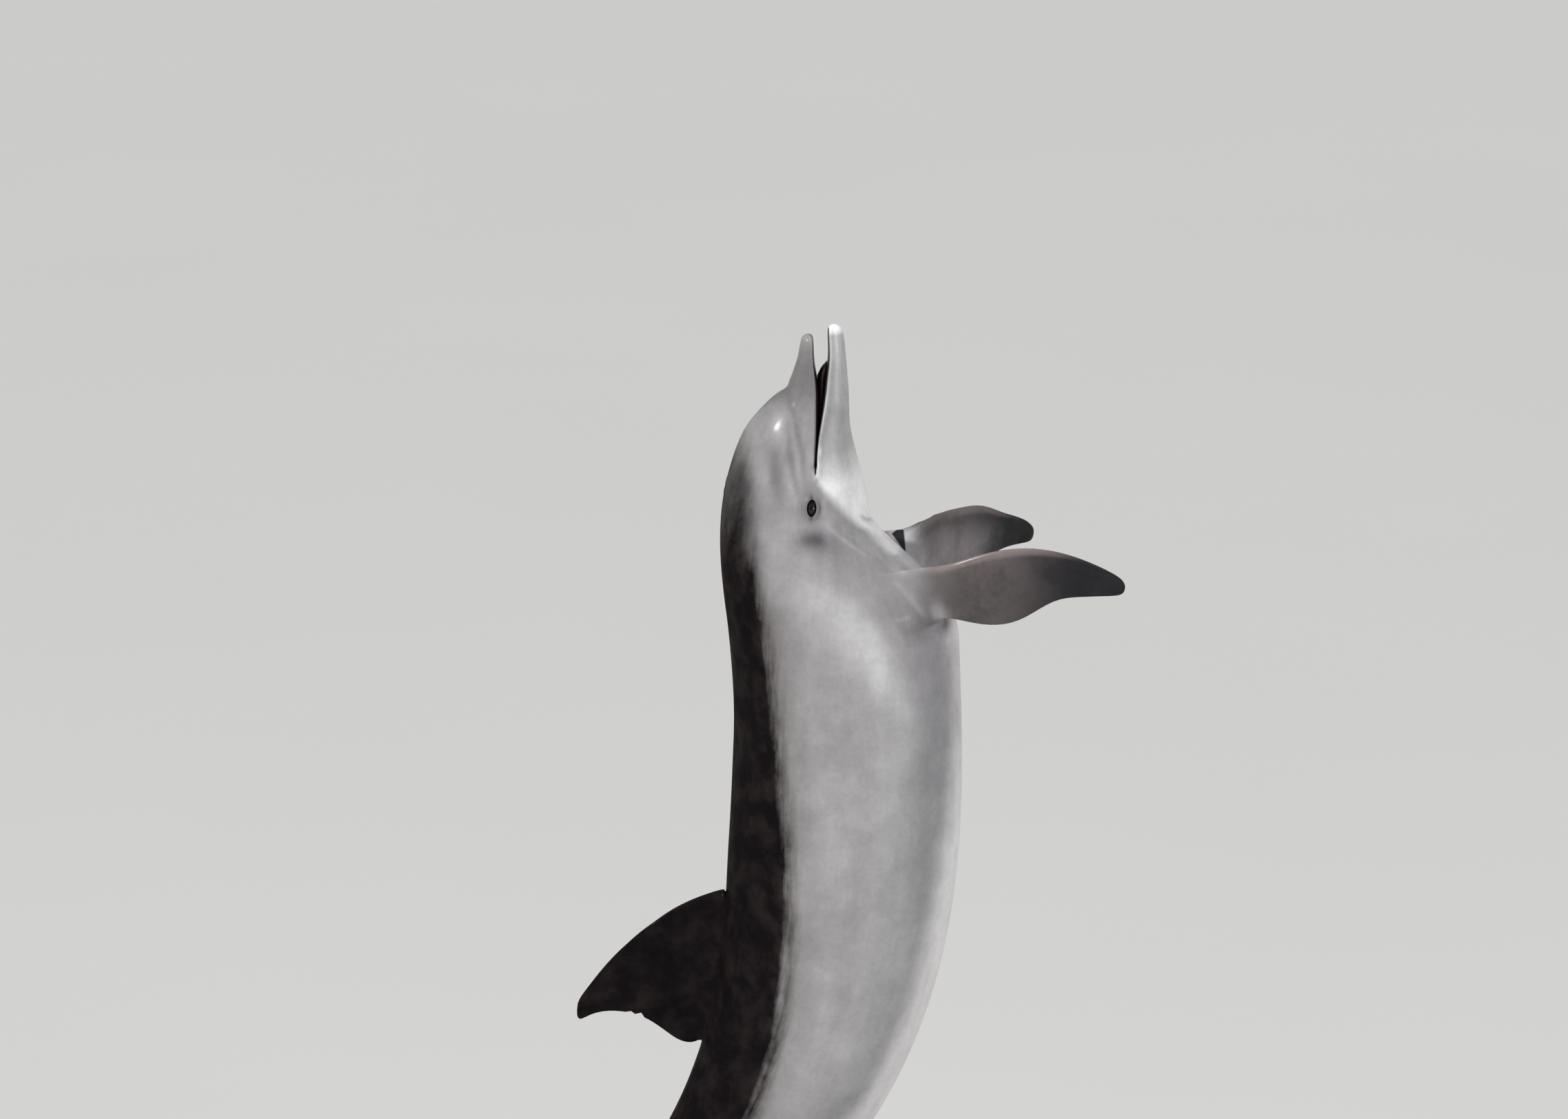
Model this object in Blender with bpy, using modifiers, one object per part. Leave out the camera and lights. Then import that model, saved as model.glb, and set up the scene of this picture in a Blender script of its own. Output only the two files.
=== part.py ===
"""Bottlenose dolphin, life size: a still museum model that rises head first, on a display stand.

Run with blender --background --python part.py, or from the text editor. Metres, +Z up.
The animal's back faces -X, its belly +X and its right side -Y. The origin is the middle of
the underside of the stand's base.

The body is one cage of quads, laid out along a spine that stands upright and then sweeps back
to the flukes. Every named part is a stretch of that cage or grows from a patch of it, and thin
cuts part them, so the edges of two neighbours face each other point for point.
"""

import math

import bmesh
import bpy
import numpy as np
from mathutils import Vector

MM = 0.001
CUT = 0.35 * MM  # the gap between two neighbouring parts

# Driving dimensions
LENGTH = 2500 * MM  # tip of the beak to the trailing edge of the flukes
NOTCH = 2452 * MM  # where the body ends, between the flukes
BEAK_HEIGHT = 2400 * MM  # tip of the beak above the floor
TRUNK_X = 45 * MM  # the upright part of the spine, from the middle of the base
BEND_START = 800 * MM  # where the spine starts to sweep back, measured along it
BEND_END = 2220 * MM
BEND_ANGLE = math.radians(60)  # lean of the spine at the flukes

# Where the parts divide, along the spine
UPPER_TIP = 18 * MM  # the lower jaw is the longer one
MELON_CREASE = 118 * MM
GAPE = 250 * MM
NECK_CUT = 385 * MM
CHEST_CUT = 800 * MM
TAIL_CUT = 1550 * MM
JAW_TIP_ROUND = 14 * MM

# The outline, as (distance along the spine, distance from it) in millimetres
BACK = (
    (0, 74), (33, 80), (61, 85), (86, 93), (102, 99), (117, 106), (130, 124), (155, 150), (188, 177),
    (219, 192), (261, 206), (303, 216), (358, 223), (418, 224), (495, 218), (552, 211), (630, 204),
    (706, 200), (850, 204), (1000, 208), (1200, 199), (1400, 180), (1600, 153), (1800, 124),
    (1950, 102), (2100, 79), (2200, 63), (2300, 46), (2400, 29), (2470, 17), (2500, 11),
)
BELLY = (
    (0, -6), (20, -2), (38, 0), (121, 7), (192, 11), (233, 20), (268, 30), (330, 44), (363, 52),
    (408, 94), (457, 145), (500, 178), (550, 203), (600, 208), (667, 211), (850, 214), (1000, 210),
    (1200, 197), (1400, 175), (1600, 147), (1800, 117), (1950, 95), (2100, 73), (2200, 58),
    (2300, 43), (2400, 28), (2470, 17), (2500, 11),
)
HALF_WIDTH = (
    (0, 17), (30, 21), (60, 28), (90, 35), (115, 43), (140, 54), (170, 68), (200, 82), (240, 99),
    (280, 113), (320, 123), (360, 131), (420, 146), (500, 168), (600, 190), (700, 203), (850, 212),
    (1000, 208), (1200, 188), (1400, 158), (1600, 122), (1800, 86), (1950, 62), (2100, 45),
    (2200, 36), (2300, 29), (2400, 24), (2470, 18), (2500, 12),
)
WAIST = ((0, 45), (250, 53), (310, 63), (400, 57), (500, 35), (600, 12), (700, 0), (2500, 0))
UPPER_LIP = ((0, 57), (67, 55), (105, 50), (165, 50), (215, 53), (250, 53))
LOWER_LIP = ((0, 31), (65, 30), (95, 34), (130, 38), (165, 43), (200, 49), (232, 51.5), (250, 52.6))
LOWER_JAW_WIDTH = 0.93  # of the upper jaw's, up to the last third of the mouth

# How square a section is: 2 is an ellipse, less is keeled
SQUARENESS = (
    (0, 2.3), (117, 2.2), (200, 2.0), (400, 2.05), (900, 2.1), (1500, 2.0), (1800, 1.75), (2300, 1.6),
    (2500, 1.9),
)

SIDES = 32  # points round a section; point 0 is on the back and point 16 on the belly
MOUTH_SIDE = 10  # the point that runs into the corner of the mouth, on the right
INNER = (0.86, 0.5, 0.0, -0.5, -0.86)  # points across the inside of the mouth, of its half width

UPPER_STATIONS = (46, 62, 80, 98)
MOUTH_STATIONS = (130, 145, 163, 182, 200, 217, 233)
HEAD_STATIONS = (268, 287, 310, 333, 358)
LOWER_STATIONS = (30, 46, 64, 84, 104, 124, 144, 163, 182, 200, 217, 233)
CHEST_STATIONS = (410, 435, 460, 485, 510, 535, 565, 605, 650, 700, 750)
BELLY_STATIONS = (860, 920, 980, 1035, 1090, 1160, 1230, 1300, 1365, 1425, 1485)
TAIL_STATIONS = (
    1620, 1690, 1760, 1830, 1900, 1970, 2040, 2110, 2180, 2240, 2290, 2325, 2360, 2395, 2430,
)

# Eye
EYE_STATION = 310 * MM
LID_HALF = Vector((15, 7.5, 0)) * MM  # half length and half height of the opening between the lids
EYEBALL = Vector((15, 13.5, 9)) * MM  # half axes: along the head, up, and inwards
EYE_DEPTH = 11 * MM  # centre of the eyeball below the skin

FILLET_RISE, FILLET_RUN = 0.32, 0.60  # how a fin's root curves in: shares of the way up and across

# Fins. A planform is (share of the span, leading edge, trailing edge), the edges in millimetres
# towards the head from the line of the span.
FLIPPER_PLAN = (
    (0.13, 60, -36), (0.26, 71, -49), (0.40, 81, -54), (0.54, 83, -43), (0.68, 74, -20), (0.81, 56, -13),
    (0.92, 34, -13), (0.98, 18, -11),
)
FLIPPER_SPAN = 375 * MM
FLIPPER_THICKNESS = (0.034, 0.007)  # root and tip
RIGHT_FLIPPER_AIM = Vector((0.355, -0.075, 0.040)).normalized()
LEFT_FLIPPER_AIM = Vector((0.23, 0.279, -0.018)).normalized()

FIN_PLAN = (
    (0.13, 150, -150), (0.26, 130, -140), (0.42, 100, -126), (0.58, 58, -122), (0.74, 6, -128),
    (0.87, -48, -142), (0.96, -98, -158),
)
FIN_HEIGHT = 232 * MM
FIN_THICKNESS = (0.044, 0.006)

FLUKE_PLAN = (
    (0.07, 66, -106), (0.17, 54, -134), (0.30, 30, -140), (0.45, 0, -136), (0.60, -34, -132),
    (0.75, -72, -134), (0.88, -108, -142), (0.96, -134, -150),
)
FLUKE_SPAN = 278 * MM
FLUKE_THICKNESS = (0.030, 0.005)

# Stand
BASE_SIZE = Vector((1240, 800, 36)) * MM
BASE_CORNER = 4 * MM
ROD_RADIUS = 22 * MM
ROD_STATIONS = (1700 * MM, 2100 * MM)
FOOT_RADIUS = 62 * MM
FOOT_HEIGHT = 12 * MM


def curve(points):
    """A smooth function through (x, y) points given in millimetres."""
    x, y = np.array(points, dtype=float).T * MM
    slope = np.gradient(y, x)

    def at(place):
        i = int(np.clip(np.searchsorted(x, place) - 1, 0, len(x) - 2))
        step = x[i + 1] - x[i]
        t = min(max((place - x[i]) / step, 0.0), 1.0)
        start = (1 + 2 * t) * (1 - t) ** 2 * y[i] + t * (1 - t) ** 2 * step * slope[i]
        end = t * t * (3 - 2 * t) * y[i + 1] + t * t * (t - 1) * step * slope[i + 1]
        return float(start + end)

    return at


back, belly, half_width, waist = curve(BACK), curve(BELLY), curve(HALF_WIDTH), curve(WAIST)
upper_lip, lower_lip = curve(UPPER_LIP), curve(LOWER_LIP)


def squareness(s):
    places, values = zip(*SQUARENESS)
    return float(np.interp(s / MM, places, values))


def ease(t):
    t = min(max(t, 0.0), 1.0)
    return t * t * (3 - 2 * t)


def lean(s):
    """Angle of the spine from upright."""
    return BEND_ANGLE * ease((s - BEND_START) / (BEND_END - BEND_START))


SPINE_STEP = 1 * MM
SPINE_S = np.arange(0, LENGTH + 0.1, SPINE_STEP)
SPINE_LEAN = np.array([lean(s) for s in SPINE_S])
SPINE_X = TRUNK_X - np.concatenate(([0], np.cumsum(np.sin(SPINE_LEAN[:-1])) * SPINE_STEP))
SPINE_Z = BEAK_HEIGHT - np.concatenate(([0], np.cumsum(np.cos(SPINE_LEAN[:-1])) * SPINE_STEP))


def place(s, up, side):
    """The point at distance s along the spine, up towards the back and side to the animal's right."""
    a = lean(s)
    x = float(np.interp(s, SPINE_S, SPINE_X)) - up * math.cos(a)
    z = float(np.interp(s, SPINE_S, SPINE_Z)) + up * math.sin(a)
    return Vector((x, -side, z))


def superellipse(angle, high, low, wide, middle, power):
    """(up, side) on a section, angle measured from the back towards the right."""
    c, d = math.cos(angle), math.sin(angle)
    reach = high - middle if c > 0 else middle + low
    up = middle + reach * math.copysign(abs(c) ** (2 / power), c)
    return up, wide * math.copysign(abs(d) ** (2 / power), d)


def ring_angle(s, j):
    """Angle of point j: the mouth's corner is half way down the head, and the points even out behind it."""
    j = j % SIDES
    mirrored = j > SIDES // 2
    k = SIDES - j if mirrored else j
    if k <= MOUTH_SIDE:
        head = 0.5 * math.pi * k / MOUTH_SIDE
    else:
        head = 0.5 * math.pi * (1 + (k - MOUTH_SIDE) / (SIDES // 2 - MOUTH_SIDE))
    even = 2 * math.pi * k / SIDES
    share = ease((s - GAPE) / (600 * MM - GAPE))
    angle = head + (even - head) * share
    return 2 * math.pi - angle if mirrored else angle


def skin(s, angle):
    up, side = superellipse(angle, back(s), belly(s), half_width(s), waist(s), squareness(s))
    return place(s, up, side)


def body_point(s, j):
    return skin(s, ring_angle(s, j))


def outward(s, angle):
    """The skin's normal."""
    step = 2 * MM
    along = skin(s + step, angle) - skin(s - step, angle)
    round_ = skin(s, angle + 0.02) - skin(s, angle - 0.02)
    return along.cross(round_).normalized()


def body_ring(s):
    return [body_point(s, j) for j in range(SIDES)]


def jaw_ring(s, tip, upper):
    """A closed section of one jaw: its outer half, then the row across the inside of the mouth."""
    t = min((s - tip) / JAW_TIP_ROUND, 1.0)
    size = math.sqrt(max(1 - (1 - t) ** 2, 0.0))
    wide = half_width(s)
    if not upper:
        wide *= LOWER_JAW_WIDTH + (1 - LOWER_JAW_WIDTH) * ease((s - 160 * MM) / (GAPE - 160 * MM))
    lip = upper_lip(s) if upper else lower_lip(s)
    middle = 0.5 * (lip + (back(s) if upper else -belly(s)))
    if upper:
        order = [j % SIDES for j in range(SIDES - MOUTH_SIDE, SIDES + MOUTH_SIDE + 1)]
    else:
        order = list(range(MOUTH_SIDE, SIDES - MOUTH_SIDE + 1))
    points = []
    for j in order:
        angle = ring_angle(0, j)
        points.append(superellipse(angle, back(s), belly(s), wide, lip, squareness(s)))
    inner = INNER if upper else tuple(-share for share in INNER)
    points += [(lip, wide * share) for share in inner]
    return [place(s, middle + (up - middle) * size, side * size) for up, side in points]


def ring_stations(first, between, last):
    """Stations of one part in metres, its two ends drawn in by half a cut."""
    return [first + CUT / 2] + [s * MM for s in between] + [last - CUT / 2]


def tip_stations(tip):
    return [tip + JAW_TIP_ROUND * share for share in (0.08, 0.32, 0.68)]


def add_ring(bm, points):
    return [bm.verts.new(p) for p in points]


def bridge(bm, a, b):
    for k in range(len(a)):
        n = (k + 1) % len(a)
        bm.faces.new((a[k], a[n], b[n], b[k]))


def fan(bm, ring, point):
    middle = bm.verts.new(point)
    for k in range(len(ring)):
        bm.faces.new((ring[k], ring[(k + 1) % len(ring)], middle))


def material(name, colour, roughness, metallic=0.0):
    mat = bpy.data.materials.new(name)
    mat.use_nodes = True
    shader = mat.node_tree.nodes["Principled BSDF"]
    shader.inputs["Base Color"].default_value = (*colour, 1)
    shader.inputs["Roughness"].default_value = roughness
    shader.inputs["Metallic"].default_value = metallic
    return mat


def finish(bm, name, mat, collection):
    """Turn a bmesh into a named object with its faces pointing out."""
    bmesh.ops.recalc_face_normals(bm, faces=bm.faces)
    mesh = bpy.data.meshes.new(name)
    bm.to_mesh(mesh)
    bm.free()
    mesh.materials.append(mat)
    mesh.shade_smooth()
    mesh.set_sharp_from_angle(angle=math.radians(60))
    obj = bpy.data.objects.new(name, mesh)
    collection.objects.link(obj)
    return obj


def upper_jaw():
    bm = bmesh.new()
    stations = tip_stations(UPPER_TIP) + [s * MM for s in UPPER_STATIONS] + [MELON_CREASE - CUT / 2]
    rings = [add_ring(bm, jaw_ring(s, UPPER_TIP, True)) for s in stations]
    for a, b in zip(rings, rings[1:]):
        bridge(bm, a, b)
    fan(bm, rings[0], place(UPPER_TIP, 0.5 * (back(UPPER_TIP) + upper_lip(UPPER_TIP)), 0))
    bm.faces.new(rings[-1])
    return bm


def lower_jaw():
    bm = bmesh.new()
    stations = tip_stations(0) + [s * MM for s in LOWER_STATIONS] + [GAPE - CUT / 2]
    rings = [add_ring(bm, jaw_ring(s, 0, False)) for s in stations]
    for a, b in zip(rings, rings[1:]):
        bridge(bm, a, b)
    fan(bm, rings[0], place(0, 0.5 * (lower_lip(0) - belly(0)), 0))
    bm.faces.new(rings[-1])
    return bm


def eye_frame(side):
    """Centre of the eye on the skin, and its axes: along the head, up and outwards."""
    j = MOUTH_SIDE if side > 0 else SIDES - MOUTH_SIDE
    angle = ring_angle(EYE_STATION, j)
    centre = skin(EYE_STATION, angle)
    along = (skin(EYE_STATION + MM, angle) - centre).normalized()
    out = outward(EYE_STATION, angle)
    if out.dot(Vector((0, -side, 0))) < 0:
        out.negate()
    return centre, along, out.cross(along).normalized() * side, out


def eye_socket(bm, grid, row, side):
    """Open the cage round the eye: lids on the skin, then a pocket for the eyeball."""
    column = MOUTH_SIDE if side > 0 else SIDES - MOUTH_SIDE
    ring = [
        grid[row + a][column + b]
        for a, b in ((-1, -1), (-1, 0), (-1, 1), (0, 1), (1, 1), (1, 0), (1, -1), (0, -1))
    ]
    bmesh.ops.delete(bm, geom=[grid[row][column]], context="VERTS")
    centre, along, up, out = eye_frame(side)
    loops = (
        # half length, half height, depth below the skin
        (LID_HALF.x * 1.45, LID_HALF.y * 2.3, 0.6 * MM),
        (LID_HALF.x, LID_HALF.y, -0.4 * MM),
        (EYEBALL.x * 1.22, EYEBALL.y * 1.2, 5.5 * MM),
        (EYEBALL.x * 1.2, EYEBALL.y * 1.2, 21 * MM),
    )
    for length, height, depth in loops:
        loop = []
        for vert in ring:
            offset = vert.co - centre
            angle = round(math.atan2(offset.dot(up), offset.dot(along)) / (math.pi / 4)) * math.pi / 4
            flat = along * length * math.cos(angle) + up * height * math.sin(angle)
            loop.append(bm.verts.new(centre + flat - out * depth))
        bridge(bm, ring, loop)
        ring = loop
    bm.faces.new(ring)


def head():
    bm = bmesh.new()
    outer = SIDES - 2 * MOUTH_SIDE + 1  # points of the lower arc, both corners of the mouth included
    front = [MELON_CREASE + CUT / 2] + [s * MM for s in MOUTH_STATIONS] + [GAPE]
    rings = [add_ring(bm, jaw_ring(s, UPPER_TIP, True)) for s in front]
    for a, b in zip(rings, rings[1:]):
        bridge(bm, a, b)
    bm.faces.new(rings[0])
    arc = 2 * MOUTH_SIDE + 1
    last, palate = rings[-1][:arc], rings[-1][arc:]
    below = add_ring(bm, [body_point(GAPE, MOUTH_SIDE + 1 + k) for k in range(outer - 2)])
    bm.faces.new([last[-1], *below, last[0], *reversed(palate)])
    # the gape's ring in body order: from the back, down the right side and up the left
    ring = last[MOUTH_SIDE:] + below + last[:MOUTH_SIDE]
    grid = [ring]
    for s in ring_stations(GAPE, HEAD_STATIONS, NECK_CUT)[1:]:
        grid.append(add_ring(bm, body_ring(s)))
        bridge(bm, grid[-2], grid[-1])
    bm.faces.new(grid[-1])
    row = 1 + HEAD_STATIONS.index(round(EYE_STATION / MM))
    for side in (1, -1):
        eye_socket(bm, grid, row, side)
    return bm


def body_part(first, between, last, tip=None):
    """A stretch of the trunk or tail; with a tip, it ends in a point there."""
    bm = bmesh.new()
    stations = ring_stations(first, between, last)
    if tip is not None:
        stations = stations[:-1]
    rings = [add_ring(bm, body_ring(s)) for s in stations]
    for a, b in zip(rings, rings[1:]):
        bridge(bm, a, b)
    bm.faces.new(rings[0])
    if tip is None:
        bm.faces.new(rings[-1])
    else:
        fan(bm, rings[-1], tip)
    return bm


def eyeball(name, side, mat, collection):
    bpy.ops.mesh.primitive_uv_sphere_add(segments=20, ring_count=10, radius=1)
    obj = bpy.context.object
    obj.name = obj.data.name = name
    centre, along, up, out = eye_frame(side)
    axes = (along, up, out)
    for vert in obj.data.vertices:
        share = vert.co.copy()
        point = centre - out * EYE_DEPTH
        for axis, half, amount in zip(axes, EYEBALL, share):
            point += axis * half * amount
        vert.co = point
    bm = bmesh.new()
    bm.from_mesh(obj.data)
    bmesh.ops.recalc_face_normals(bm, faces=bm.faces)
    bm.to_mesh(obj.data)
    bm.free()
    obj.data.materials.append(mat)
    obj.data.shade_smooth()
    move_to(obj, collection)
    return obj


def move_to(obj, collection):
    for old in list(obj.users_collection):
        old.objects.unlink(obj)
    collection.objects.link(obj)


def blade_section(edge_faces, chord_faces, lead, trail, thickness):
    """A closed section of a fin as (towards the head, across) pairs.

    It starts at one corner of the leading edge and goes round it, down one face, round the
    trailing edge and up the other face.
    """
    chord = lead - trail
    corner, end = 0.07, 0.97

    def half(share):
        return 0.5 * thickness * (1.9 * math.sqrt(share) - 1.55 * share - 0.27 * share**3)

    section = []
    for k in range(edge_faces):
        t = math.pi * k / edge_faces
        section.append((corner * (1 - math.sin(t)), half(corner) * math.cos(t)))
    for k in range(chord_faces):
        share = corner + (end - corner) * k / chord_faces
        section.append((share, -half(share)))
    for k in range(edge_faces):
        t = math.pi * k / edge_faces
        section.append((end + (1 - end) * math.sin(t), -half(end) * math.cos(t)))
    for k in range(chord_faces):
        share = end - (end - corner) * k / chord_faces
        section.append((share, half(share)))
    return [(lead - share * chord, across) for share, across in section]


def fillet_point(foot, section_point, aim):
    """A point on the hollow curve that leads from the body into a fin."""
    step = section_point - foot
    height = aim * step.dot(aim)
    return foot + height * FILLET_RISE + (step - height) * FILLET_RUN


def fin(stations, columns, plan, span, thickness, root, aim, head_way):
    """A fin that grows from a patch of the body's cage.

    stations and columns give the patch, column by column from the side that the across axis
    points to. root is the middle of the patch, aim runs to the tip and head_way to the head.
    """
    bm = bmesh.new()
    grid = []
    for s in stations:
        row = []
        for j in columns:
            angle = ring_angle(s, j)
            normal = outward(s, angle)
            point = skin(s, angle)
            if normal.dot(point - place(s, waist(s), 0)) < 0:
                normal.negate()
            row.append(bm.verts.new(point + normal * CUT))
        grid.append(row)
    for a, b in zip(grid, grid[1:]):
        for k in range(len(columns) - 1):
            bm.faces.new((a[k], a[k + 1], b[k + 1], b[k]))
    edge_faces, chord_faces = len(columns) - 1, len(stations) - 1
    ring = list(grid[0][:-1])
    ring += [row[-1] for row in grid[:-1]]
    ring += list(reversed(grid[-1][1:]))
    ring += [row[0] for row in reversed(grid[1:])]
    across = aim.cross(head_way).normalized()
    forward = across.cross(aim).normalized()
    if across.dot(grid[0][0].co - grid[0][-1].co) < 0:
        across.negate()
    for share, lead, trail in plan:
        thick = thickness[0] + (thickness[1] - thickness[0]) * share
        section = blade_section(edge_faces, chord_faces, lead * MM, trail * MM, thick)
        middle = root + aim * span * share
        points = [middle + forward * ahead + across * over for ahead, over in section]
        if share == plan[0][0]:
            fillet = add_ring(bm, [fillet_point(vert.co, p, aim) for vert, p in zip(ring, points)])
            bridge(bm, ring, fillet)
            ring = fillet
        loop = add_ring(bm, points)
        bridge(bm, ring, loop)
        ring = loop
    last_middle = 0.5 * (plan[-1][1] + plan[-1][2]) * MM
    fan(bm, ring, root + aim * span + forward * last_middle)
    return bm


def patch_middle(stations, columns):
    s = 0.5 * (stations[0] + stations[-1])
    j = 0.5 * (columns[0] + columns[-1])
    return skin(s, 2 * math.pi * j / SIDES), lean(s)


def flipper(side, aim):
    """The left one is held further forward, and its root with it."""
    first = 1 if side > 0 else 0
    stations = [s * MM for s in CHEST_STATIONS[first : first + 5]]
    columns = (12, 13, 14) if side > 0 else (20, 19, 18)
    root, _ = patch_middle(stations, columns)
    head_way = Vector((0, 0, 1))
    return fin(stations, columns, FLIPPER_PLAN, FLIPPER_SPAN, FLIPPER_THICKNESS, root, aim, head_way)


def dorsal_fin():
    stations = [s * MM for s in BELLY_STATIONS[4:10]]
    columns = (1, 0, -1)
    root, a = patch_middle(stations, columns)
    aim = Vector((-math.cos(a), 0, math.sin(a)))
    head_way = Vector((math.sin(a), 0, math.cos(a)))
    return fin(stations, columns, FIN_PLAN, FIN_HEIGHT, FIN_THICKNESS, root, aim, head_way)


def fluke(side):
    stations = [s * MM for s in TAIL_STATIONS[10:15]]
    columns = (6, 7, 8, 9, 10) if side > 0 else (26, 25, 24, 23, 22)
    root, a = patch_middle(stations, columns)
    aim = Vector((0, -side, 0))
    head_way = Vector((math.sin(a), 0, math.cos(a)))
    return fin(stations, columns, FLUKE_PLAN, FLUKE_SPAN, FLUKE_THICKNESS, root, aim, head_way)


def stand_base(mat, collection):
    bpy.ops.mesh.primitive_cube_add(size=1, location=(0, 0, BASE_SIZE.z / 2))
    obj = bpy.context.object
    obj.name = obj.data.name = "stand_base"
    obj.scale = BASE_SIZE
    bpy.ops.object.transform_apply(location=True, rotation=False, scale=True)
    corners = obj.modifiers.new("edges", "BEVEL")
    corners.width = BASE_CORNER
    corners.segments = 3
    obj.data.materials.append(mat)
    move_to(obj, collection)
    return obj


def stand_rod(name, s, tail, mat, collection, cutters):
    """An upright rod with a round foot, cut to the underside of the tail with a thin gap."""
    under = place(s, -belly(s), 0)
    inside = place(s, 0, 0)
    bottom = BASE_SIZE.z + CUT
    bm = bmesh.new()
    profile = (
        (bottom, FOOT_RADIUS - 2 * MM), (bottom + 2 * MM, FOOT_RADIUS), (bottom + FOOT_HEIGHT, FOOT_RADIUS),
        (bottom + FOOT_HEIGHT + 4 * MM, ROD_RADIUS + 4 * MM), (bottom + FOOT_HEIGHT + 8 * MM, ROD_RADIUS),
        (inside.z, ROD_RADIUS),
    )
    rings = []
    for z, radius in profile:
        turn = [2 * math.pi * k / 24 for k in range(24)]
        rings.append(add_ring(bm, [(under.x + radius * math.cos(t), radius * math.sin(t), z) for t in turn]))
    for a, b in zip(rings, rings[1:]):
        bridge(bm, a, b)
    bm.faces.new(rings[0])
    bm.faces.new(rings[-1])
    obj = finish(bm, name, mat, collection)
    cutter = tail.copy()
    cutter.data = tail.data.copy()
    cutter.name = cutter.data.name = name + "_cutter"
    for vert in cutter.data.vertices:
        vert.co += vert.normal * 1.2 * CUT
    cutter.hide_render = True
    cutter.display_type = "WIRE"
    cutters.objects.link(cutter)
    cut = obj.modifiers.new("to the tail", "BOOLEAN")
    cut.operation = "DIFFERENCE"
    cut.object = cutter
    return obj


def build():
    for obj in list(bpy.data.objects):
        bpy.data.objects.remove(obj, do_unlink=True)
    parts = bpy.data.collections.new("bottlenose_dolphin")
    cutters = bpy.data.collections.new("cutters")
    for collection in (parts, cutters):
        bpy.context.scene.collection.children.link(collection)

    back_skin = material("back_skin", (0.055, 0.052, 0.058), 0.28)
    flank_skin = material("flank_skin", (0.30, 0.30, 0.31), 0.28)
    belly_skin = material("belly_skin", (0.55, 0.54, 0.55), 0.30)
    eye = material("eye", (0.012, 0.010, 0.010), 0.06)
    board = material("stand_board", (0.030, 0.030, 0.033), 0.35)
    steel = material("stand_steel", (0.05, 0.05, 0.055), 0.45, 1.0)

    finish(upper_jaw(), "upper_jaw", flank_skin, parts)
    finish(lower_jaw(), "lower_jaw", belly_skin, parts)
    finish(head(), "head", flank_skin, parts)
    finish(body_part(NECK_CUT, CHEST_STATIONS, CHEST_CUT), "chest", flank_skin, parts)
    finish(body_part(CHEST_CUT, BELLY_STATIONS, TAIL_CUT), "trunk", flank_skin, parts)
    notch = place(NOTCH, 0, 0)
    tail = finish(body_part(TAIL_CUT, TAIL_STATIONS, NOTCH, notch), "tail_stock", flank_skin, parts)
    finish(dorsal_fin(), "dorsal_fin", back_skin, parts)
    for name, side, aim in (("right", 1, RIGHT_FLIPPER_AIM), ("left", -1, LEFT_FLIPPER_AIM)):
        finish(flipper(side, aim), "flipper_" + name, back_skin, parts)
        finish(fluke(side), "fluke_" + name, back_skin, parts)
        eyeball("eye_" + name, side, eye, parts)

    stand_base(board, parts)
    for name, s in zip(("stand_rod_front", "stand_rod_rear"), ROD_STATIONS):
        stand_rod(name, s, tail, steel, parts, cutters)


build()
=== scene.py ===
import math

import bmesh
import bpy
import numpy as np
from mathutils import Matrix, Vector, kdtree, noise
from mathutils.bvhtree import BVHTree


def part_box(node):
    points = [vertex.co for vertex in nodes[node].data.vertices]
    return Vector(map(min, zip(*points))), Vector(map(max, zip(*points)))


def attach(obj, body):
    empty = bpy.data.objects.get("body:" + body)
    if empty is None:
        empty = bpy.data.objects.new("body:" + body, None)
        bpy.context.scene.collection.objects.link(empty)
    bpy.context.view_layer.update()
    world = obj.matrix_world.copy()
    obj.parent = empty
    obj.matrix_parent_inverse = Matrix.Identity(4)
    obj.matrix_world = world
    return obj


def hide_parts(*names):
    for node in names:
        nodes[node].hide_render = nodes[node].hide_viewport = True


# Life-size bottlenose dolphin on a display stand: the looks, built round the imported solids.

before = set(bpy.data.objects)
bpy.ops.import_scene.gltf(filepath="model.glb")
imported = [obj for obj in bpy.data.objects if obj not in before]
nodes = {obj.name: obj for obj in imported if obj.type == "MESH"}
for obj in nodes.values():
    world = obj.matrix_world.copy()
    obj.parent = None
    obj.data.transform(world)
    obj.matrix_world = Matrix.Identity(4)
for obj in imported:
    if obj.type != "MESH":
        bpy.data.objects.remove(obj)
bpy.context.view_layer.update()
bpy.ops.object.select_all(action="DESELECT")
print("frame loaded:", len(nodes), "nodes")

# The camera stands level with the chest and looks a little down on the animal's right side
cameraSetup = {
    "aim": (-0.064, 0.0, 1.966),
    "elevation": 14.0,  # degrees above the horizon
    "distance": 13.0,
    "lens": 165.6,
    "sensor": 36.0,
    "farthest": 200.0,
}


def addObject(name, data):
    made = bpy.data.objects.new(name, data)
    bpy.context.scene.collection.objects.link(made)
    return made


def pointAt(obj, place, direction):
    obj.location = place
    obj.rotation_mode = "QUATERNION"
    obj.rotation_quaternion = Vector(direction).to_track_quat("-Z", "Y")


def addCamera():
    tilt = math.radians(cameraSetup["elevation"])
    away = Vector((0, -math.cos(tilt), math.sin(tilt)))
    cameraData = bpy.data.cameras.new("museumCamera")
    camera = addObject("museumCamera", cameraData)
    pointAt(camera, Vector(cameraSetup["aim"]) + away * cameraSetup["distance"], -away)
    cameraData.lens = cameraSetup["lens"]
    cameraData.sensor_width = cameraSetup["sensor"]
    cameraData.clip_end = cameraSetup["farthest"]
    bpy.context.scene.camera = camera


addCamera()
print("camera placed")


# Where a point is on the body

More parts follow.
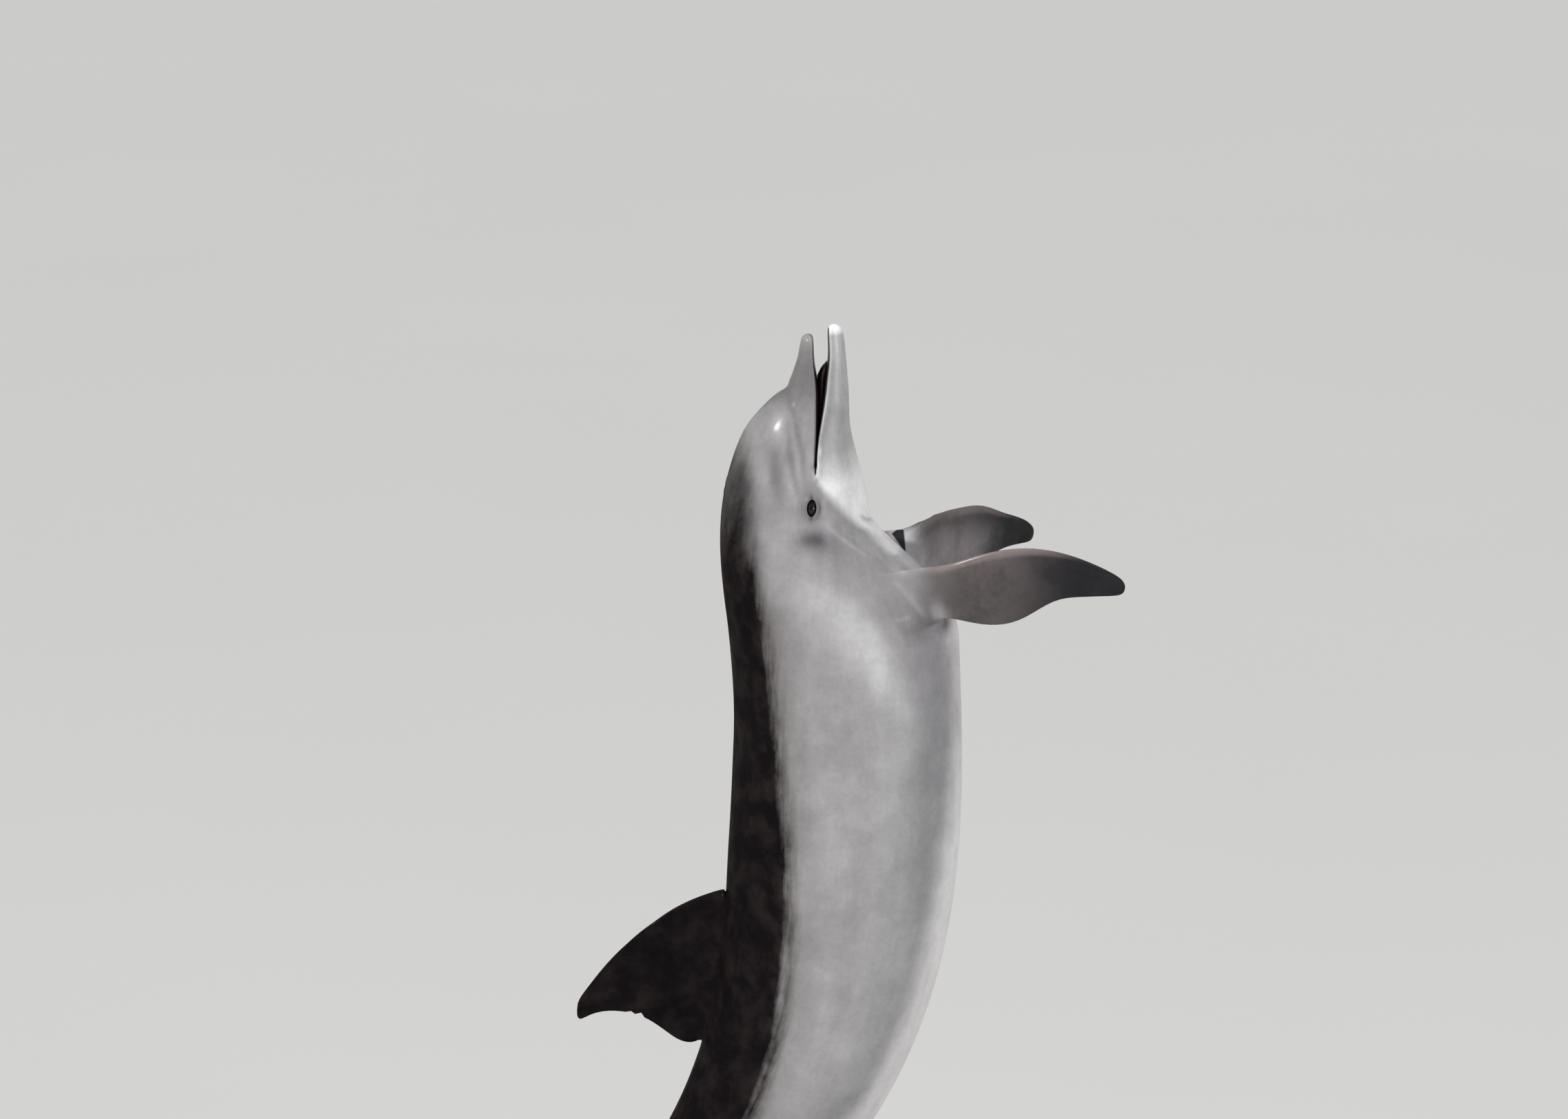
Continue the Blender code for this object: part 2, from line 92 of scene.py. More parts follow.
# The line the body is built round: upright from the beak, then swept back to the flukes
bodyLine = {
    "beakTip": 2.4,  # height above the floor
    "frontX": 0.045,
    "bend": (0.8, 2.22),
    "bendAngle": math.radians(60),
    "length": 2.5,
    "step": 0.005,
    "block": 20000,  # points looked up at a time
    "clear": 0.6,  # farther from the line than any skin
}


def smoothStep(low, high, value):
    t = np.clip((value - low) / (high - low), 0, 1)
    return t * t * (3 - 2 * t)


def bell(distance, width):
    return np.exp(-(distance / width) ** 2)


def runningSum(values):
    return np.concatenate(([0], np.cumsum(values[:-1]))) * bodyLine["step"]


lineS = np.arange(0, bodyLine["length"] + 0.0001, bodyLine["step"])
lineLean = bodyLine["bendAngle"] * smoothStep(*bodyLine["bend"], lineS)
lineX = bodyLine["frontX"] - runningSum(np.sin(lineLean))
lineZ = bodyLine["beakTip"] - runningSum(np.cos(lineLean))


def alongAndUp(points):
    # distance behind the beak's tip, height towards the back, and distance to the animal's right
    along = np.empty(len(points))
    up = np.empty(len(points))
    for start in range(0, len(points), bodyLine["block"]):
        block = slice(start, start + bodyLine["block"])
        x = points[block, 0]
        z = points[block, 2]
        k = ((x[:, None] - lineX) ** 2 + (z[:, None] - lineZ) ** 2).argmin(1)
        dx = x - lineX[k]
        dz = z - lineZ[k]
        along[block] = lineS[k] - dx * np.sin(lineLean[k]) - dz * np.cos(lineLean[k])
        up[block] = -dx * np.cos(lineLean[k]) + dz * np.sin(lineLean[k])
    return along, up, -points[:, 1]


def linePoint(s, up, side):
    lean, x, z = (float(np.interp(s, lineS, line)) for line in (lineLean, lineX, lineZ))
    return Vector((x - up * math.cos(lean), -side, z + up * math.sin(lean)))


# The skin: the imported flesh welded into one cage, then smoothed

skinSetup = {
    "pieces": (
        "upper_jaw", "lower_jaw", "head", "chest", "trunk", "tail_stock", "dorsal_fin",
        "flipper_right", "flipper_left", "fluke_right", "fluke_left",
    ),
    "weldGap": 0.00055,  # wider than the cuts between the solids
    "quadAngle": math.radians(70),
    "smoothLevels": 2,
    "fitRounds": 2,
    "fitShare": 0.8,
    "headEnd": 0.372,  # the finer part of the skin ends here, behind the eye
    "eyeReach": 0.034,  # the finest part, round each eye
}
finSorts = {"flipper": 1.0, "dorsal": 2.0, "fluke": 3.0}
# How a fin is measured: share of its points taken as the root, then bands across its reach
finBands = {"rootShare": 0.15, "count": 13, "half": 0.07, "leastChord": 0.001}


def readVectors(mesh, kind="co"):
    flat = np.empty(len(mesh.vertices) * 3)
    mesh.vertices.foreach_get(kind, flat)
    return flat.reshape(-1, 3)


def writePoints(mesh, points):
    mesh.vertices.foreach_set("co", np.ascontiguousarray(points).ravel())
    mesh.update()


def readMask(mesh, name):
    values = np.empty(len(mesh.vertices))
    mesh.attributes[name].data.foreach_get("value", values)
    return values


def writeMask(mesh, name, values):
    attribute = mesh.attributes.get(name) or mesh.attributes.new(name, "FLOAT", "POINT")
    attribute.data.foreach_set("value", np.asarray(values, dtype=np.float32))


def addPrimitive(name, add, **settings):
    bpy.ops.object.select_all(action="DESELECT")
    add(**settings)
    piece = bpy.context.object
    piece.name = piece.data.name = name
    return piece


def activate(obj):
    bpy.ops.object.select_all(action="DESELECT")
    obj.hide_set(False)
    obj.select_set(True)
    bpy.context.view_layer.objects.active = obj


def startEdit(obj):
    # edit mode with all of the mesh selected
    activate(obj)
    bpy.ops.object.mode_set(mode="EDIT")
    bpy.ops.mesh.select_all(action="SELECT")


def endEdit():
    bpy.ops.object.mode_set(mode="OBJECT")


def joinTriangles():
    angle = skinSetup["quadAngle"]
    bpy.ops.mesh.tris_convert_to_quads(face_threshold=angle, shape_threshold=angle)


def addSmoothing(obj, levels):
    modifier = obj.modifiers.new("smooth", "SUBSURF")
    modifier.levels = modifier.render_levels = levels


def copyNode(name, newName):
    copy = addObject(newName, nodes[name].data.copy())
    copy.data.materials.clear()
    activate(copy)
    bpy.ops.mesh.customdata_custom_splitnormals_clear()
    startEdit(copy)
    bpy.ops.mesh.remove_doubles(threshold=0.00001)
    endEdit()
    return copy


def markReach(copy, name):
    # reach is 0 at a fin's root and 1 at its tip, chord 0 at its leading edge and 1 at its trailing edge
    sort = finSorts.get(name.split("_")[0], 0.0)
    points = readVectors(copy.data)
    reach = np.zeros(len(points))
    chord = np.full(len(points), 0.5)
    if sort:
        along, up, side = alongAndUp(points)
        height = np.abs(side) if sort == finSorts["fluke"] else np.hypot(up, side)
        root = points[height < np.quantile(height, finBands["rootShare"])].mean(0)
        span = points[height.argmax()] - root
        reach = np.clip((points - root) @ span / (span @ span), 0, 1)
        across = points - root - np.outer(reach, span)
        axis = np.linalg.eigh(across.T @ across)[1][:, 2]
        width = across @ (axis if axis[2] < 0 else -axis)
        places = np.linspace(0, 1, finBands["count"])
        bands = [width[np.abs(reach - place) < finBands["half"]] for place in places]
        front = np.interp(reach, places, [band.min() for band in bands])
        rear = np.interp(reach, places, [band.max() for band in bands])
        chord = np.clip((width - front) / np.maximum(rear - front, finBands["leastChord"]), 0, 1)
    writeMask(copy.data, "reach", reach)
    writeMask(copy.data, "chord", chord)
    writeMask(copy.data, "finSort", np.full(len(points), sort))


def openCuts(copies):
    # faces that lie against a neighbour go, so that the pieces can be welded edge to edge
    trees = {}
    for name, copy in copies.items():
        trees[name] = kdtree.KDTree(len(copy.data.vertices))
        for vert in copy.data.vertices:
            trees[name].insert(vert.co, vert.index)
        trees[name].balance()
    for name, copy in copies.items():
        bm = bmesh.new()
        bm.from_mesh(copy.data)
        touching = {}
        for vert in bm.verts:
            touching[vert] = {
                other for other, tree in trees.items()
                if other != name and tree.find(vert.co)[2] < skinSetup["weldGap"]
            }
        inner = [f for f in bm.faces if set.intersection(*(touching[v] for v in f.verts))]
        bmesh.ops.delete(bm, geom=inner, context="FACES")
        bm.to_mesh(copy.data)
        bm.free()


def weldSkin():
    copies = {name: copyNode(name, "part" + name) for name in skinSetup["pieces"]}
    for name, copy in copies.items():
        markReach(copy, name)
    openCuts(copies)
    skin = copies["trunk"]
    activate(skin)
    for copy in copies.values():
        copy.select_set(True)
    bpy.ops.object.join()
    skin.name = skin.data.name = "dolphinSkin"
    startEdit(skin)
    bpy.ops.mesh.remove_doubles(threshold=skinSetup["weldGap"])
    joinTriangles()
    bpy.ops.mesh.normals_make_consistent()
    endEdit()
    return skin


def smoothSkin(skin):
    # the cage is let out until the smooth surface runs through the points of the solids
    wanted = readVectors(skin.data)
    addSmoothing(skin, skinSetup["smoothLevels"])
    cage = wanted.copy()
    for _ in range(skinSetup["fitRounds"]):
        graph = bpy.context.evaluated_depsgraph_get()
        smooth = readVectors(skin.evaluated_get(graph).data)[:len(wanted)]
        cage += (wanted - smooth) * skinSetup["fitShare"]
        writePoints(skin.data, cage)
        bpy.context.view_layer.update()
    activate(skin)
    bpy.ops.object.modifier_apply(modifier="smooth")


skin = weldSkin()
print("skin welded:", len(skin.data.polygons), "faces")
smoothSkin(skin)
print("skin smoothed:", len(skin.data.polygons), "faces")


# Finer mesh on the head, then the small forms

eyeCentres = {name: np.array(sum(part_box(name), Vector()) / 2) for name in ("eye_right", "eye_left")}


def refine(skin, wanted, smoothing):
    # one cut through the chosen faces, then a light smoothing so that no facet shows
    startEdit(skin)
    bpy.ops.mesh.select_all(action="DESELECT")
    endEdit()
    chosen = wanted(readVectors(skin.data))
    picked = [bool(chosen[list(p.vertices)].all()) for p in skin.data.polygons]
    skin.data.polygons.foreach_set("select", picked)
    bpy.ops.object.mode_set(mode="EDIT")
    bpy.context.tool_settings.mesh_select_mode = (False, False, True)
    bpy.ops.mesh.subdivide(number_cuts=1)
    bpy.ops.mesh.vertices_smooth(factor=0.5, repeat=smoothing)
    endEdit()
    bpy.context.tool_settings.mesh_select_mode = (True, False, False)


def eyeDistance(points):
    return np.minimum(*(np.linalg.norm(points - centre, axis=1) for centre in eyeCentres.values()))


refine(skin, lambda points: alongAndUp(points)[0] < skinSetup["headEnd"], 2)
refine(skin, lambda points: eyeDistance(points) < skinSetup["eyeReach"], 1)
print("head and eyes refined:", len(skin.data.polygons), "faces")


def skinTree(skin):
    return BVHTree.FromObject(skin, bpy.context.evaluated_depsgraph_get())


def onSide(tree, s, up, side):
    # the skin's point at that station and height, on the right (side 1) or the left (side -1)
    start = linePoint(s, up, bodyLine["clear"] * side)
    hit = tree.ray_cast(start, Vector((0, side, 0)))[0]
    return hit if hit is not None else linePoint(s, up, 0)


def onTop(tree, s, side, direction):
    # the skin's point on the back (direction 1) or the belly (direction -1)
    start = linePoint(s, bodyLine["clear"] * direction, side)
    hit = tree.ray_cast(start, linePoint(s, 0, side) - start)[0]
    return hit if hit is not None else start


def sidePath(tree, stations, side, step=0.004):
    # a close row of points on the line between the stations, laid on the skin
    corners = [np.array(station) * 0.001 for station in stations]
    flat = [corners[0]]
    for a, b in zip(corners, corners[1:]):
        count = max(1, int(np.linalg.norm(b - a) / step))
        flat += [a + (b - a) * k / count for k in range(1, count + 1)]
    return np.array([onSide(tree, s, up, side) for s, up in flat])


def pathDistance(points, path, reach):
    # distance to the path and share of its length, far points left at a large number
    distance = np.full(len(points), 9.0)
    share = np.zeros(len(points))
    low = path.min(0) - reach
    high = path.max(0) + reach
    near = np.nonzero(((points > low) & (points < high)).all(1))[0]
    for k, (a, b) in enumerate(zip(path, path[1:])):
        line = b - a
        t = np.clip((points[near] - a) @ line / max(line @ line, 1e-12), 0, 1)
        gap = np.linalg.norm(points[near] - a - t[:, None] * line, axis=1)
        closer = gap < distance[near]
        distance[near[closer]] = gap[closer]
        share[near[closer]] = (k + t[closer]) / (len(path) - 1)
    return distance, share


# Grooves on both sides, in millimetres: depth at the start and end, width, swell beside it,
# and (along, up) stations
grooves = {
    "melonCrease": (1.3, 0.2, 8, 0.1, ((108, 112), (116, 105.5), (124, 101), (136, 96), (150, 92))),
    "mouthCorner": (0.9, 0.3, 3, 0.3, ((244, 53), (256, 51), (268, 46), (276, 40))),
    "throatCrease": (4.2, 0.4, 5.5, 1.2, ((360, -52), (357, -47), (350, -40), (340, -30), (330, -18))),
    "neckFold": (2, 0.3, 6, 0.6, ((398, -88), (392, -80), (384, -66), (378, -48))),
    "chestFold": (5, 0.6, 9, 2, ((548, -198), (556, -192), (570, -183), (590, -176), (620, -170))),
    "flipperLine": (0.1, 0.2, 6, 0.1, ((341, 38), (364, 8), (389, -25), (404, -42))),
    "flipperBase": (0.8, 0.8, 4.5, 0.2, (
        (412, -62), (426, -76), (444, -104), (466, -134), (491, -165), (510, -188),
    )),
}

blowhole = {
    "station": 0.3,
    "halfWidth": 0.017,
    "bow": 0.009,
    "depth": 0.006,
    "width": 0.0024,
    "reach": 0.03,
    "rim": (0.0009, 0.0075, 0.004),  # height, distance from the slit, width
}
# Round forms on both sides: (along, up), height and radius
sideForms = {
    "earHole": (0.366, 0.054, -0.002, 0.0022),
    "melonSwell": (0.176, 0.1205, 0.0036, 0.041),
}
# Slits along the middle of the belly: first and last station, depth and width
bellySlits = {
    "navel": (1.150, 1.162, 0.0022, 0.006),
    "genital": (1.6, 1.72, 0.005, 0.0032),
    "vent": (1.775, 1.795, 0.004, 0.003),
}
creaseForm = {
    "reach": 5,  # in widths
    "swell": (2.1, 0.9),  # place and width of the swell beside a groove, in widths
    "slitSwell": (2.4, 0.9),
    "slitSwellShare": 0.3,  # of the slit's depth
    "slitReach": 0.05,
    "fadeIn": (0, 0.10),  # shares of the length
    "fadeOut": (1, 0.86),
}
lidFolds = {
    "half": (0.015, 0.0078),  # half length and half height of the opening
    "reach": 0.026,
    "outside": 0.0045,  # only the skin this far out of the head is moved
    # where each fold lies in openings, how wide, how high
    "folds": ((1.45, 0.34, 0.0006), (2.0, 0.24, -0.0006), (2.65, 0.4, -0.0003)),
}
flipperEdges = {"front": (0.62, 0.1), "rear": (0.4, 0.92)}  # shares of the chord
flipperTrims = (
    # (side, edge, share of the reach, spread, rise)
    (-1, "front", 0.115, 0.05, 0.0085),
    (-1, "front", 0.195, 0.05, 0.0085),
    (-1, "front", 0.27, 0.09, 0.0065),
    (-1, "front", 0.52, 0.14, -0.0035),
    (-1, "front", 0.74, 0.16, -0.013),
    (1, "rear", 0.63, 0.13, 0.009),
)
nickBand = {"margin": 0.003, "half": 0.006}  # round the fin, and round the nick's level
finNicks = (
    # (fin, share of the reach, depth, radius)
    ("dorsal_fin", 0.52, 0.006, 0.008),
    ("dorsal_fin", 0.60, 0.0035, 0.006),
    ("fluke_left", 0.58, 0.004, 0.007),
    ("fluke_right", 0.72, 0.003, 0.0055),
)
# The line of the mouth, and how far its lips are drawn together towards the corner
lips = {
    "line": (
        (0, 0.044), (0.067, 0.0425), (0.105, 0.043), (0.165, 0.0465), (0.215, 0.0515), (0.25, 0.053),
        (0.28, 0.053),
    ),
    "closing": (0.105, 0.232),
    "release": (0.275, 0.252),
    "reach": 0.03,
    "share": 0.86,
}


def eyeAxes(name):
    # along the head, up towards the back, and out of the head
    points = readVectors(nodes[name].data) - eyeCentres[name]
    out, up, along = np.linalg.eigh(points.T @ points)[1].T
    out = out * np.sign(out[1] * eyeCentres[name][1])
    return -along * np.sign(along[2]), -up * np.sign(up[0]), out


def eyeOffsets(name, points):
    # how far each point lies from the eye's centre, by the eye's axes
    return [(points - eyeCentres[name]) @ axis for axis in eyeAxes(name)]


def ovalRing(ahead, above, half):
    # 1 on an oval with those half sizes
    return np.hypot(ahead / half[0], above / half[1])


def lipLine(along):
    return np.interp(along, *np.array(lips["line"]).T)


def closeLips(points):
    along, up, side = alongAndUp(points)
    gap = up - lipLine(along)
    near = np.clip(1 - (gap / lips["reach"]) ** 2, 0, 1) ** 3
    share = lips["share"] * smoothStep(*lips["closing"], along) * smoothStep(*lips["release"], along)
    points[:, 0] += gap * near * share  # the head is upright, so that its back is towards -x
    return points


def sculptSkin(skin):
    writePoints(skin.data, closeLips(readVectors(skin.data)))
    tree = skinTree(skin)
    points = readVectors(skin.data)
    normals = readVectors(skin.data, "normal")
    lift = np.zeros(len(points))

    place, breadth = creaseForm["swell"]
    for *sizes, line in grooves.values():
        depth, endDepth, width, swell = (size * 0.001 for size in sizes)
        for side in (1, -1):
            distance, share = pathDistance(points, sidePath(tree, line, side), width * creaseForm["reach"])
            ends = smoothStep(*creaseForm["fadeIn"], share) * smoothStep(*creaseForm["fadeOut"], share)
            deep = depth + (endDepth - depth) * share
            lift += (swell * bell(distance / width - place, breadth) - deep * bell(distance, width)) * ends

    turns = np.linspace(-1, 1, 13)
    stations = [(blowhole["station"] - blowhole["bow"] * t * t, blowhole["halfWidth"] * t) for t in turns]
    path = np.array([onTop(tree, s, side, 1) for s, side in stations])
    distance, share = pathDistance(points, path, blowhole["reach"])
    ends = np.sqrt(np.clip(1 - (2 * share - 1) ** 4, 0, 1))
    height, gap, width = blowhole["rim"]
    lift += height * bell(distance - gap, width)
    lift -= blowhole["depth"] * ends * bell(distance, blowhole["width"])

    for s, up, height, radius in sideForms.values():
        for side in (1, -1):
            distance = np.linalg.norm(points - np.array(onSide(tree, s, up, side)), axis=1)
            lift += height * bell(distance, radius)

    place, breadth = creaseForm["slitSwell"]
    for first, last, depth, width in bellySlits.values():
        path = np.array([onTop(tree, s, 0, -1) for s in np.linspace(first, last, 9)])
        distance = pathDistance(points, path, creaseForm["slitReach"])[0]
        swell = creaseForm["slitSwellShare"] * bell(distance / width - place, breadth)
        lift += depth * (swell - bell(distance, width))

    for name in eyeCentres:
        ahead, above, outward = eyeOffsets(name, points)
        ring = ovalRing(ahead, above, lidFolds["half"])
        near = (outward > lidFolds["outside"]) * np.exp(-(ahead / lidFolds["reach"]) ** 4)
        for place, width, height in lidFolds["folds"]:
            lift += near * height * bell(ring - place, width)

    writePoints(skin.data, nickFins(trimFlippers(skin.data, points + normals * lift[:, None])))


def trimFlippers(mesh, points):
    # the far flipper's leading edge is rounder, and the near one's trailing edge is cut back to its tip
    reach = readMask(mesh, "reach")
    chord = readMask(mesh, "chord")
    onFlipper = np.abs(readMask(mesh, "finSort") - finSorts["flipper"]) < 0.5
    for side, edge, place, width, height in flipperTrims:
        share = smoothStep(*flipperEdges[edge], chord) * onFlipper * (side * points[:, 1] < 0)
        points[:, 2] += share * height * bell(reach - place, width)
    return points


def nickFins(points):
    # small old tears in the trailing edges
    for name, place, depth, radius in finNicks:
        low, high = (np.array(corner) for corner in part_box(name))
        margin = nickBand["margin"]
        inside = ((points > low - margin) & (points < high + margin)).all(1)
        along, up, side = alongAndUp(points)
        height = np.abs(side) if name.startswith("fluke") else up
        if name == "fluke_left":
            inside &= side < 0
        heights = height[inside]
        level = heights.min() + (heights.max() - heights.min()) * place
        edge = inside & (np.abs(height - level) < nickBand["half"])
        rear = np.nonzero(edge)[0][along[edge].argmax()]
        distance = np.linalg.norm(points - points[rear], axis=1)
        lean = float(np.interp(along[rear], lineS, lineLean))
        forward = np.array((math.sin(lean), 0, math.cos(lean)))
        amount = depth * np.clip(1 - (distance / radius) ** 2, 0, 1) ** 2 * inside
        points = points + np.outer(amount, forward)
    return points


sculptSkin(skin)
print("small forms sculpted")


# The markings, with the painted light and painted shade laid out among them

# Heights and widths of the markings and of the band of painted light: pairs of (station behind the beak's
# tip, size) in millimetres
edges = {
    "capeEdge": (
        (160, 192), (200, 176), (233, 166), (274, 160), (320, 160), (416, 153), (480, 152), (535, 136),
        (590, 129), (665, 126), (708, 120), (850, 104), (1000, 95), (1200, 75), (1400, 55), (1700, 30),
        (2100, 10), (2500, 0),
    ),
    "capeBlur": (
        (200, 30), (330, 26), (390, 36), (430, 22), (520, 13), (620, 15), (750, 18), (1200, 22),
        (2500, 20),
    ),
    "capeRamp": ((300, 12), (390, 30), (430, 28), (500, 14), (2500, 14)),
    "paleEdge": (
        (0, 36), (100, 41), (200, 49), (250, 53), (263, 49), (297, 21), (326, -3), (352, -27), (364, -42),
        (385, -60), (408, -83), (418, -105), (432, -150), (455, -200), (505, -205), (530, -189),
        (560, -182), (594, -193), (650, -201), (706, -203), (850, -190), (1100, -165), (1400, -120),
        (1600, -80), (1800, -60), (2100, -45), (2500, -30),
    ),
    "paleBlur": (
        (0, 4), (240, 6), (280, 14), (320, 16), (360, 9), (420, 14), (580, 24), (700, 24), (2500, 30),
    ),
    "stripeLow": ((335, 45), (364, 8), (389, -25), (442, -92), (487, -156), (530, -210)),
    "stripeHigh": (
        (335, 62), (355, 88), (385, 82), (411, 50), (445, 10), (481, -26), (530, -72), (580, -100),
        (632, -118), (700, -130), (850, -140), (1100, -150),
    ),
    # the middle and widths of the band of painted light across the chest
    "lightCentre": (
        (380, 100), (420, 72), (450, 42), (481, 12), (530, -25), (580, -50), (632, -83), (665, -100),
        (700, -106), (850, -100), (1100, -100),
    ),
    "lightWidth": ((420, 62), (530, 60), (600, 46), (660, 38), (900, 45)),
}

# Their strengths: pairs of (station in millimetres, share)
strengths = {
    "capeStrength": (
        (130, 0), (170, 0.2), (205, 0.48), (250, 0.78), (320, 0.86), (390, 0.95), (440, 1), (2500, 1),
    ),
    "capeTail": ((360, 0), (420, 0.25), (500, 0.8), (620, 1), (750, 0.7), (2000, 0.5), (2500, 0.4)),
    "capeRagged": ((200, 0.25), (380, 0.35), (500, 0.85), (600, 1), (2500, 1)),
    "paleStrength": (
        (0, 0.25), (170, 0.12), (215, 0.16), (255, 0.68), (278, 1), (345, 1), (410, 1), (440, 0.55),
        (600, 0.5), (800, 0.7), (1000, 0.8), (1600, 0.8), (1900, 0.6), (2200, 0.25), (2500, 0.1),
    ),
    "stripeStrength": (
        (330, 0), (360, 0.7), (420, 0.85), (480, 0.7), (560, 0.55), (700, 0.3), (950, 0.15), (1200, 0),
    ),
    "beakStrength": ((0, 0.35), (30, 0.55), (70, 0.9), (118, 0.85), (150, 0.5), (220, 0.2), (260, 0)),
    # how strong the band of painted light on the flank is
    "flankLight": (
        (370, 0), (410, 0.02), (435, 0.12), (475, 0.64), (530, 0.77), (590, 0.58), (660, 0.52),
        (800, 0.35), (1000, 0.3), (1400, 0.1),
    ),
}

# Soft lines and spots on both sides, some the skin's own marks and some painted shade, painted light and
# painted
# highlights: half width in millimetres, strength (below 0 where the skin is lighter), and (along, up)
# stations in millimetres
softLines = {
    "bridleLow": (6, 0.26, ((118, 104), (153, 92), (183, 85), (213, 76), (253, 73), (284, 70))),
    "bridleHigh": (6, 0.24, ((170, 101), (214, 100), (237, 95), (254, 91), (283, 85))),
    "templeShade": (20, 0.15, ((190, 140), (225, 136), (260, 136), (300, 140), (330, 146))),
    "templeStreak": (12.5, 0.3, ((200, 124), (235, 124), (268, 125), (305, 122))),
    "templeHaze": (12, 0.17, ((243, 122), (268, 117), (293, 109), (308, 104))),
    "bridleHaze": (25, 0.15, ((205, 94), (235, 91), (262, 92), (292, 98))),
    # painted shade of the hollow behind the eye round the ear hole, with a softer haze and a tail
    "earHollowShade": (16.5, 0.6, ((368, 82), (364, 68), (363, 55), (364, 43), (368, 28))),
    "earShadeHaze": (23, 0.2, ((374, 100), (374, 70), (376, 35), (388, 0))),
    "earShadeTail": (15, 0.12, ((372, 60), (385, 35), (410, 5))),
    # painted shade in the throat crease
    "throatCreaseShade": (4, 0.45, ((360, -51), (356, -46), (348, -38), (338, -28))),
    # painted shade under the flipper's root
    "axillaShade": (6, 0.05, ((440, -98), (462, -126), (490, -152), (528, -180))),
    # painted shade in the corners of the eye and in the fold below it
    "canthusShadeFront": (3, 0.42, ((286, 60.5), (292, 60.2), (299, 60))),
    "canthusShadeRear": (3, 0.36, ((320, 60), (327, 60.4), (333, 61.2))),
    "lidFold": (2.6, 0.25, ((300, 47), (310, 44), (321, 45.5))),
    "underLine": (4.5, 0.14, ((360, 2), (389, -32), (412, -60))),
    # painted shade along the crease at the flipper's base
    "flipperBase": (4.8, 0.17, (
        (410, -60), (426, -76), (444, -104), (466, -134), (491, -165), (510, -188),
    )),
    "flipperLine": (3.6, -0.2, ((340, 36), (364, 10), (389, -22), (400, -34))),
    "bridleGap": (4.5, -0.06, ((150, 98), (183, 92.5), (213, 88), (253, 82), (290, 77))),
    # a painted highlight round the shine on the melon
    "melonPaintedHighlight": (19, -0.17, ((148, 121), (174, 122), (205, 115))),
    "browLight": (6, -0.1, ((235, 107), (262, 101), (290, 92), (312, 87))),
    # painted light on the chest in the shade under the flipper
    "armpitPaintedLight": (11, -0.32, ((486, -160), (507, -167), (526, -176))),
    "chestFold": (9, -0.14, ((505, -182), (530, -186), (556, -186), (600, -182))),
    # painted highlights on the lower lip by the mouth's corner
    "lipGlintFront": (3.4, -0.85, ((205, 44.5), (213, 45), (221, 45.8))),
    "lipGlintRear": (3, -0.85, ((228, 47.5), (235, 48.5), (242, 49.5))),
}

# Where each mask is 0 and where it is full
maskSteps = {
    # shares of the reach
    "flipper": (-0.03, 0.15), "blade": (0.02, 0.22), "paleRoot": (0.0, 0.15),
    "rimRoot": (0.04, 0.16), "rimTip": (0.95, 0.55),
    # share of the chord
    "rimChord": (0.14, 0.02),
    # distances from the cape, the middle, the stripe's edges and the lip
    "pastCape": (0.07, 0.035), "betweenSide": (0.07, 0.035), "stripeLow": (-0.008, 0.008),
    "stripeHigh": (-0.020, 0.026), "matteLow": (0.0, 0.003), "matteHigh": (0.048, 0.040),
    # stations behind the beak's tip
    "tip": (0.024, 0.006), "rosyTip": (0.035, 0.008), "matteFront": (0.085, 0.105),
    "matteRear": (0.25, 0.22), "mouthRear": (0.247, 0.236), "rosyChest": (0.36, 0.40),
    "betweenFront": (0.40, 0.43), "betweenRear": (0.56, 0.52), "tailEnd": (2.16, 2.31),
    # how far the skin faces the middle, or across the mouth
    "under": (-0.35, 0.35), "mouthFacing": (0.62, 0.92),
    # level of the coarse noise
    "rosyDrift": (-0.5, 0.6),
}
maskShares = {
    "capeThinning": 0.17, "besideCape": 0.50, "pastCape": 0.26, "between": 0.35,
    "rosyBelly": 0.50, "rosyTip": 0.35,
}
maskWidths = {"besideCape": 0.022, "lightBelow": 0.040, "mouthSlit": 0.016}
# Heights over the line that the body is measured from, and over the cape's edge for the last
maskHeights = {"tip": 0.036, "beak": 0.046, "rosyTip": 0.045, "besideCape": 0.01}
# Slow noise, so that no edge is ruled: its two scales, and how far it moves each edge
unevenness = {
    "scales": (9.0, 2.6),
    "cape": 0.006, "capeDrift": 0.008, "pale": 0.006, "stripe": 0.010, "light": 0.020,
    "flipper": 0.05, "tailEnd": 0.06,
}
# How a soft line thins out towards its ends, and how many widths it reaches
lineFade = {"ends": 0.25, "span": (0.02, 0.98), "power": 0.6, "reach": 4}
# The streaks' grid: the axis they turn about, and metres to a radian
bodyGrid = {"axis": 0.03, "radius": 0.2}
eyeShade = {
    "halo": 0.66, "haloHalf": (0.027, 0.0215), "haloPower": 2.4,
    "lids": 0.92, "lidReach": 1.25, "lidPower": 6,
    "depth": 0.030,
}


def curveOf(name, s):
    stations, values = np.array(edges.get(name) or strengths[name]).T
    return np.interp(s, stations * 0.001, values * (0.001 if name in edges else 1))


def eased(name, value):
    return smoothStep(*maskSteps[name], value)


def insideMouth(normals, along, up):
    # the palate and the floor of the mouth look at each other across the slit; they are painted near black
    # as the shade inside the mouth
    gap = up - lipLine(along)
    facing = np.where(gap > 0, normals[:, 0], -normals[:, 0])
    inSlit = np.abs(gap) < maskWidths["mouthSlit"]
    return eased("mouthFacing", facing) * eased("mouthRear", along) * inSlit


def shadeRoundEyes(points):
    shade = np.zeros(len(points))
    for name in eyeCentres:
        ahead, above, outward = eyeOffsets(name, points)
        halo = np.exp(-ovalRing(ahead, above, eyeShade["haloHalf"]) ** eyeShade["haloPower"])
        ring = ovalRing(ahead, above, lidFolds["half"])
        lids = np.exp(-(ring / eyeShade["lidReach"]) ** eyeShade["lidPower"])
        deepest = np.maximum(eyeShade["halo"] * halo, eyeShade["lids"] * lids)
        shade = np.maximum(shade, deepest * (np.abs(outward) < eyeShade["depth"]))
    return shade


